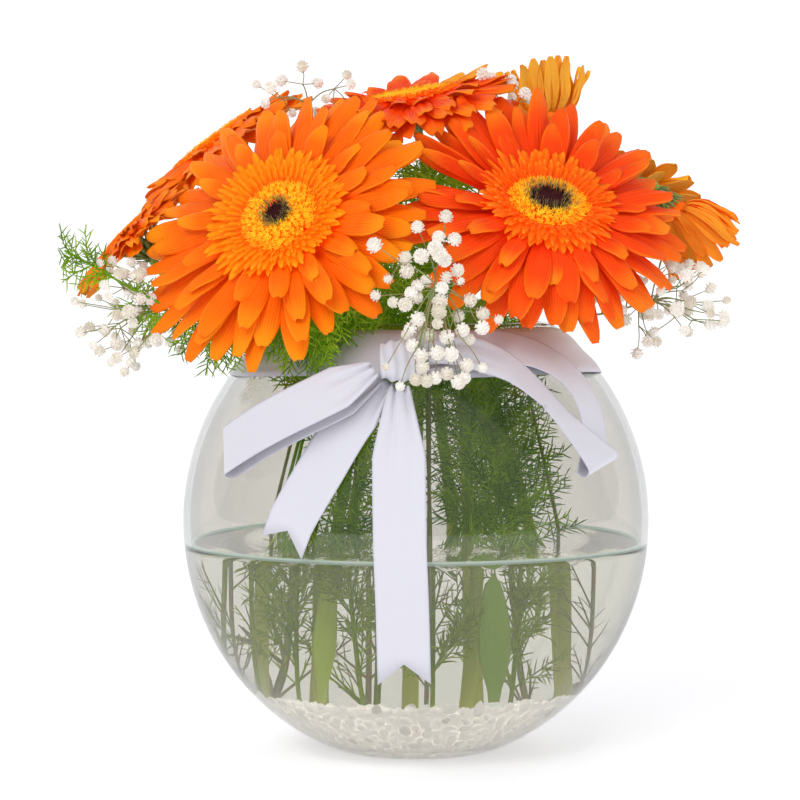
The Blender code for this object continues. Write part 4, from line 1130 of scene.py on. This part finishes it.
def petal_blades(bloom, rows, spread, wobble):
    """The leaves of all the rows, set a little unevenly round the flower.

    A few petals of flower c are golden, and a few of flower b show their edge."""
    blades = []
    half_open = bloom.opened < 0.7
    sway = 13 if half_open else 6
    for place, (count, share, half, rise, lift, out) in enumerate(rows):
        count = int(count * 0.6) if half_open else count
        lift = lift * (0.5 + 0.5 * bloom.dome)
        for number in range(count):
            angle = math.tau * (number + 0.5 * place + spread.uniform(-wobble, wobble)) / count
            path = petal_route(bloom, angle, share * spread.uniform(0.88, 1.0), rise, lift, out,
                               spread.uniform(-sway, sway))
            side = bloom.across(angle)
            tone = spread.uniform(0, 0.95)
            wide = half * spread.uniform(0.9, 1.06) * min(1.0, bloom.reach / 0.058)
            if bloom.name == "c" and abs(math.degrees(angle) % 360 - 188) < 27:
                tone = 1.0
            if bloom.name == "b" and abs(math.degrees(angle) % 360 - 232) < 15:
                side = side * 0.35 - bloom.facing * 0.94
                wide = wide * 0.6
            blades.append(([boxed(point, 0.0012) for point in path], side, wide,
                           spread.uniform(-0.5, 0.5), tone))
    return blades


def turned_on(bloom, profile, sides, wide, high):
    """A turned shape that lies on the middle of a flower head."""
    points, faces = lathe(profile, sides)
    return [bloom.place(math.hypot(x, y) * wide, math.atan2(y, x), height * high)
            for x, y, height in points], faces


PETAL_MARKS = ("along", "across", "over", "tone")
CUP_SECTION = [(0.0, 0.0006), (0.010, 0.0004), (0.0150, 0.0), (0.0160, -0.0016),
               (0.0130, -0.0046), (0.006, -0.0056), (0.0, -0.0056)]
for bloom in BLOOMS:
    spread = random.Random("petals " + bloom.name)
    star_finish = star_finishes[bloom.colour]
    rays = leaves.run(
        "rays_" + bloom.name, leaf_points(petal_blades(bloom, ROWS, spread, 0.2)),
        petal_finishes[bloom.colour], PETAL_MARKS, Leaf=petal_leaf, Widest=0.6, Foot=0.42,
        Shoulder=0.62 if bloom.opened > 0.7 else 0.36, Roundness=2.0, Notch=0.02, Cup=-0.26,
        Groove=0.00045, Ruffle=0.0010, Thickness=0.00020)
    stars = leaves.run(
        "star_" + bloom.name, leaf_points(petal_blades(bloom, STAR_ROWS, spread, 0.35)),
        star_finish, PETAL_MARKS, Leaf=star_leaf, Widest=0.5, Foot=0.5, Shoulder=0.45,
        Roundness=1.5, Cup=0.2, Ruffle=0.0006, Thickness=0.00012)
    hub = add_piece("hub_" + bloom.name,
                    *turned_on(bloom, CUP_SECTION, 32, bloom.opened ** 1.6, 1.0), star_finish)
    settle(merge("petals_" + bloom.name, [rays, stars, hub]), f"gerbera_{bloom.name}_rays")

# The florets glow a little in their own colour: painted light.
yellow = Finish("disc_florets", {"Emission Strength": 0.16})
yellow.dress((255, 204, 34), (yellow.attribute("tone").smooth(0.15, 0.9), (251, 158, 12)),
             (yellow.noise(1300.0).smooth(0.60, 0.74) * 0.7, (132, 74, 20)),
             roughness=0.5 + 0.3 * yellow.noise(1500.0), painted_glow=True)
yellow.bump(yellow.noise(2200.0), 0.0002, 0.5)

dark = Finish("eye_buds", {"Specular IOR Level": 0.2})
dark.dress((56, 16, 20), (dark.attribute("tone"), (102, 46, 44)),
           roughness=0.55 + 0.3 * dark.noise(1500.0))
dark.bump(dark.noise(2500.0), 0.0002, 0.5)

fuzz = Finish("eye_fuzz", {"Roughness": 0.8})
fuzz.dress((96, 82, 62), (fuzz.attribute("tone"), (192, 178, 104)))


def floret_shape():
    """An opened disc floret: a small tube that flares into five pointed lobes."""
    points = [*circle(5, 0.35, -0.6), *circle(5, 0.42, 0.3), *circle(5, 1.0, 0.75, 0.5),
              (0, 0, 0.1), (0, 0, 1.3), *circle(3, 0.12, 0.1)]
    faces = []
    for k, after in ((0, 1), (1, 2), (2, 3), (3, 4), (4, 0)):
        faces += [(k, after, after + 5, k + 5), (k + 5, after + 5, 10 + k), (after + 5, k + 5, 15)]
    return points, faces + [(17, 18, 16), (18, 19, 16), (19, 17, 16)]


floret = template("floret_shape", *floret_shape())
bud = template("bud_shape", *lathe([(0.0, 1.0), (0.45, 0.8), (0.8, 0.2), (0.7, -0.6),
                                    (0.0, -0.8)], 7))
hair = template("hair_shape", *needle_shape())

DISC_RADIUS = 0.0175
FLORETS = 460
HAIRS = 420
GOLDEN = math.pi * (3 - math.sqrt(5))
PAD_SECTION = [(0.0, 0.0040), (0.0034, 0.0042), (0.0060, 0.0038), (0.0066, 0.0028),
               (0.0050, 0.0012), (0.0, 0.0012)]
for bloom in BLOOMS:
    draw = random.Random("middle " + bloom.name)
    size = bloom.opened ** 2
    ring_spots, eye_spots, hair_spots = [], [], []
    eye = {"a": 0.32, "b": 0.50}.get(bloom.name, 0.36)
    for number in range(FLORETS):
        share = math.sqrt((number + 0.5) / FLORETS)
        dome = 0.0022 + 0.0020 * math.sin(math.pi * min(1, share * 1.05)) - 0.0016 * share ** 4
        dome = dome * bloom.dome + draw.uniform(-0.0003, 0.0003)
        angle = number * GOLDEN + draw.uniform(-0.06, 0.06)
        place = bloom.place(DISC_RADIUS * share * size, angle, dome * size + 0.0004)
        lean = (bloom.facing + bloom.way(angle) * (0.9 * share - 0.1)).normalized()
        if share < eye:
            wide = 0.00072 * size
            eye_spots.append((place - bloom.facing * 0.0006, lean, draw.uniform(0, 6),
                              (wide, wide, wide * 1.7), draw.uniform(0, 1) * (0.3 + share)))
        else:
            wide = (0.00088 + 0.00052 * share) * draw.uniform(0.7, 1.25) * size
            tone = min(1.0, max(0.0, share * 0.9 - 0.25 + draw.uniform(-0.25, 0.25)))
            lean = (lean + Vector([draw.uniform(-0.25, 0.25) for axis in range(3)])).normalized()
            ring_spots.append((place, lean, draw.uniform(0, 6), (wide, wide, wide * 1.7), tone))
    for number in range(HAIRS):
        share = draw.uniform(0.6, 1.3) * eye
        angle = draw.uniform(0, math.tau)
        place = bloom.place(DISC_RADIUS * share * size, angle, 0.0042 * size * bloom.dome)
        lean = (bloom.facing + bloom.way(angle) * draw.uniform(-0.3, 0.6)).normalized()
        hair_spots.append((place, lean, draw.uniform(0, 6),
                           (0.00009, 0.00009, 0.0034 * size * bloom.dome), draw.uniform(0, 1)))
    settle(scattered("florets_" + bloom.name, ring_spots, floret, yellow),
           f"gerbera_{bloom.name}_disc")
    pad = turned_on(bloom, PAD_SECTION, 20, size * eye / 0.38, size * bloom.dome)
    parts = [scattered("eye_" + bloom.name, eye_spots, bud, dark),
             scattered("fuzz_" + bloom.name, hair_spots, hair, fuzz),
             add_piece("pad_" + bloom.name, *pad, dark)]
    settle(merge("eye_" + bloom.name, parts), f"gerbera_{bloom.name}_eye")


# Satin ribbon. One length of white double-faced satin, 21 mm wide, wound round the
# neck of the bowl and tied in front in a bow, pinched in pleats at the knot. Its
# ends are cut in swallow tails.

RIBBON_WIDTH = 0.021
RIBBON_THICKNESS = 0.00035
KNOT_PLACE = (-0.0055, 0.1645)
KNOT_SIZE = (0.0165, 0.0092, 0.0044)
FOLD_RADIUS = 0.0030
BAND_TOP = 0.1802
BAND_DROP = 0.0184
LEAST_LIFT = 0.0008

satin = Finish("white_satin", {"IOR": 1.5, "Sheen Weight": 0.1, "Sheen Roughness": 0.3,
                               "Specular IOR Level": 0.45})
satin_side, satin_run = satin.attribute("across"), satin.attribute("along")
weft = (satin_run * 5200.0).sine() * 0.5 + 0.5
selvedge = satin_side.size().smooth(0.93, 0.97)
slub = satin.noise(1.0, 3.0, satin.node("ShaderNodeCombineXYZ", {
    "X": satin_side * 60.0, "Y": satin_run * 40.0}))
satin.dress((216, 215, 223), (slub.smooth(0.4, 0.7) * 0.2, (204, 202, 213)),
            (selvedge * 0.6, (206, 203, 220)), roughness=0.34 + 0.16 * slub)
satin.bump(weft * 0.08 + slub * 0.5 + selvedge * 1.5, 0.00012, 0.4)


def on_front(x, z, lift):
    """A point over the front of the bowl, and the direction straight out of the glass there.

    Below the widest line the ribbon hangs plumb."""
    height = max(z, BOWL_CENTRE_Z)
    radius = bowl_radius(height)
    y = -math.sqrt(radius * radius - x * x)
    out = Vector((x / BOWL_RADIUS ** 2, y / BOWL_RADIUS ** 2,
                  (height - BOWL_CENTRE_Z) / BOWL_HALF_HEIGHT ** 2)).normalized()
    return Vector((x, y, z)) + out * lift, out


def push_out(point, lift):
    """Moves a point out until it is the lift away from the glass."""
    height = max(point.z, BOWL_CENTRE_Z)
    flat = math.hypot(point.x, point.y)
    slope = Vector((flat / BOWL_RADIUS ** 2, (height - BOWL_CENTRE_Z) / BOWL_HALF_HEIGHT ** 2))
    need = (bowl_radius(height) - flat) * (slope.x / slope.length) + lift
    if need > 0:
        out = Vector((point.x / flat * slope.x, point.y / flat * slope.x, slope.y)).normalized()
        point = point + out * need
    return point


def flat_path(route):
    """A smooth path over the front of the glass, as places to the right and up."""
    return [point.to_2d() for point in smooth_path([(*point, 0.0) for point in route], 49)]


def ribbon_row(path, share, lift, width, columns, least_lift, pleats, ahead=0.0, lean=0.0,
               aside=0.0):
    """One row of points across the ribbon at a share of its path over the glass.

    lean turns it about the path, and aside moves it sideways over the glass."""
    spot, way = along_path(path, share * (len(path) - 1))
    way.normalize()
    centre, out = on_front(*spot, lift)
    forward = on_front(spot.x + way.x * 0.002, spot.y + way.y * 0.002, lift)[0]
    forward = (forward - centre).normalized()
    level = forward.cross(out).normalized()
    across = level * math.cos(lean) + out * math.sin(lean)
    centre = centre + level * aside + forward * ahead
    row = []
    for position in [column / (columns - 1) - 0.5 for column in range(columns)]:
        wave = pleats * (math.cos(position * 15.5 + 0.6) + 0.5 * math.sin(position * 27.0))
        row.append(push_out(centre + across * position * width + out * wave, least_lift))
    return row


def ribbon_piece(name, node, rows):
    """A strip of satin through the rows, in its real thickness."""
    columns = len(rows[0])
    run = [0.0]
    for row, after in zip(rows, rows[1:]):
        run.append(run[-1] + (after[columns // 2] - row[columns // 2]).length)
    faces = [(a, a + 1, a + columns + 1, a + columns) for first in range(len(rows) - 1)
             for a in range(first * columns, first * columns + columns - 1)]
    made = add_piece(name, sum(rows, []), faces, satin)
    mark(made.data, along=[length for length in run for column in range(columns)],
         across=[2 * column / (columns - 1) - 1 for column in range(columns)] * len(rows))
    thick = made.modifiers.new("thickness", "SOLIDIFY")
    thick.thickness = RIBBON_THICKNESS
    thick.offset = 0.0
    settle(made, node)


def gathered_width(share):
    """The ribbon is pinched at the knot and opens out to its full width."""
    return RIBBON_WIDTH * min(1.0, 0.42 + 2.6 * share)


def gathered_pleats(share):
    """How deep the pleats are: they fade out a third of the way from the knot."""
    return 0.0011 * max(0.0, 1 - share / 0.34) ** 1.3


band_rows = []
for angle in [math.tau * step / 96 for step in range(97)]:
    row = []
    for column in range(9):
        z = BAND_TOP - BAND_DROP * column / 8 + 0.0012 * math.sin(angle * 3 + 1) * math.sin(angle)
        radius = bowl_radius(z) + 0.0007 + 0.0004 * math.sin(column * 1.3 + 2 * math.sin(angle * 2))
        row.append(Vector((radius * math.sin(angle), radius * math.cos(angle), z)))
    band_rows.append(row)
ribbon_piece("ribbon_round_neck", "ribbon_band", band_rows)


def loop_row(path, share, layer, opening, tilt, ahead=0.0, least_lift=0.0016):
    """One row of a loop. layer is 1 on its front, -1 on its back and between at its fold."""
    swell = math.sin(math.pi * share ** 1.6)
    lift = 0.0022 + 0.0014 * (1 - share) + FOLD_RADIUS * (1 + layer) + 0.0025 * swell
    lean = math.radians(tilt) * swell * (1 + 0.18 * layer)
    return ribbon_row(path, share, lift, gathered_width(share), 21, least_lift,
                      gathered_pleats(share) * (0.75 + 0.25 * layer), ahead, lean,
                      opening / 2 * swell * layer)


for side, opening, tilt, route in (
        ("left", 0.0, 0,
         [(-0.0152, 0.1600), (-0.030, 0.1520), (-0.050, 0.1413), (-0.0708, 0.1300)]),
        ("right", 0.0270, 21,
         [(0.0038, 0.1650), (0.0158, 0.1672), (0.028, 0.1665), (0.0394, 0.1628),
          (0.0516, 0.1545), (0.0606, 0.1435), (0.0662, 0.1335), (0.0693, 0.1263)])):
    path = flat_path(route)
    front = [loop_row(path, step / 40, 1.0, opening, tilt) for step in range(41)]
    fold = [loop_row(path, 1.0, math.cos(angle), opening, tilt, FOLD_RADIUS * math.sin(angle),
                     LEAST_LIFT)
            for angle in map(math.radians, range(15, 180, 15))]
    back = [loop_row(path, step / 40, -1.0, opening, tilt) for step in range(40, -1, -1)]
    ribbon_piece("bow_loop_" + side, "ribbon_loop_" + side, front + fold + back)

for side, first_lift, last_lift, notch, route in (
        ("left", 0.0012, 0.0016, 0.0075,
         [(-0.0120, 0.1600), (-0.0265, 0.1427), (-0.0373, 0.1253), (-0.0482, 0.1056),
          (-0.0525, 0.0945)]),
        ("middle", 0.0034, 0.0014, 0.0080,
         [(-0.0066, 0.1562), (-0.0065, 0.1280), (-0.0062, 0.0976), (-0.0052, 0.0700),
          (-0.0045, 0.0420)])):
    path = flat_path(route)
    length = sum((b - a).length for a, b in zip(path, path[1:]))
    rows = []
    for share in [step / 48 for step in range(49)]:
        if share < 1 and share * length > length - notch - 0.003:
            continue
        lift = first_lift + (last_lift - first_lift) * share + 0.0004 * math.sin(share * 9)
        rows.append(ribbon_row(path, share * 0.999, lift, gathered_width(share), 17, LEAST_LIFT,
                               gathered_pleats(share)))
    notch_row = ribbon_row(path, 0.999, lift, RIBBON_WIDTH, 17, LEAST_LIFT, 0.0, -notch)
    rows[-1] = [corner.lerp(inner, 1 - abs(2 * column / 16 - 1))
                for column, (corner, inner) in enumerate(zip(rows[-1], notch_row))]
    ribbon_piece("bow_tail_" + side, "ribbon_tail_" + side, rows)


def blunt_power(value, power):
    """A power of a number below or above zero, which keeps its sign."""
    return math.copysign(abs(value) ** power, value)


knot_centre, knot_out = on_front(*KNOT_PLACE, 0.0065)
knot_side = Vector((1, 0, 0))
knot_up = knot_out.cross(knot_side).normalized()
knot_rows = []
for angle in [math.tau * step / 48 for step in range(49)]:
    row = []
    for position in [column / 20 - 0.5 for column in range(21)]:
        bulge = 1.0 - 0.9 * position * position
        crease = 0.0006 * math.sin(position * 24 + 1.2 * math.sin(angle * 2))
        up = blunt_power(math.cos(angle), 0.7) * KNOT_SIZE[1] * bulge
        out = blunt_power(math.sin(angle), 0.8) * KNOT_SIZE[2] * bulge
        radial = Vector((0, up, out)).normalized() * crease
        row.append(knot_centre + knot_side * position * KNOT_SIZE[0] + knot_up * (up + radial.y)
                   + knot_out * (out + radial.z))
    knot_rows.append(row)
ribbon_piece("bow_knot", "ribbon_knot", knot_rows)


# Floor, backdrop, light and camera. A pale seamless sheet swept up behind the vase, a
# large soft light from the front left, and the camera where the photograph was taken.

BEND = 0.8
sweep = [(0.9 + BEND * math.sin(angle), BEND - BEND * math.cos(angle))
         for angle in map(math.radians, range(0, 91, 6))]
sweep = [(-2.2, 0.0), *sweep, (1.7, 3.2)]
paper = Finish("pale_paper", {"Roughness": 0.9, "Emission Strength": 0.36,
                              "Emission Color": paint(250, 250, 252)})
paper.dress((246, 246, 247), (paper.noise(3.0), (243, 243, 244)))
backdrop = add_piece(
    "backdrop", [(x, y, z) for y, z in sweep for x in (-3.0, 3.0)],
    [(2 * k, 2 * k + 1, 2 * k + 3, 2 * k + 2) for k in range(len(sweep) - 1)], paper)
backdrop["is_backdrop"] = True

world = bpy.data.worlds.new("daylight")
bpy.context.scene.world = world
world.use_nodes = True
sky = world.node_tree.nodes["Background"].inputs
sky["Color"].default_value = (0.96, 0.97, 1.0, 1.0)
sky["Strength"].default_value = 0.52


def add_light(name, place, size, watts):
    """A soft square light that shines on the bouquet and isn't seen in the glass."""
    data = bpy.data.lights.new(name, "AREA")
    data.shape = "SQUARE"
    data.size = size
    data.energy = watts
    made = new_object(name, data)
    made.location = place
    way = Vector((0.0, 0.0, 0.16)) - Vector(place)
    made.rotation_euler = way.to_track_quat("-Z", "Y").to_euler()
    made.visible_glossy = False
    made.visible_transmission = False


add_light("key", (-0.9, -1.3, 1.5), 1.3, 20.5)
add_light("fill", (1.3, -0.9, 0.8), 1.0, 6.0)

camera = bpy.data.cameras.new("camera")
camera.sensor_width = 36.0
camera.lens = 115.3
camera.shift_x = -0.02
camera_holder = new_object("camera", camera)
camera_holder.location = (0.0, -1.10, 0.1987)
camera_holder.rotation_euler = (math.radians(90 - 2.57), 0.0, 0.0)
bpy.context.scene.camera = camera_holder
bpy.context.scene.view_settings.view_transform = "Standard"

low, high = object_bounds()
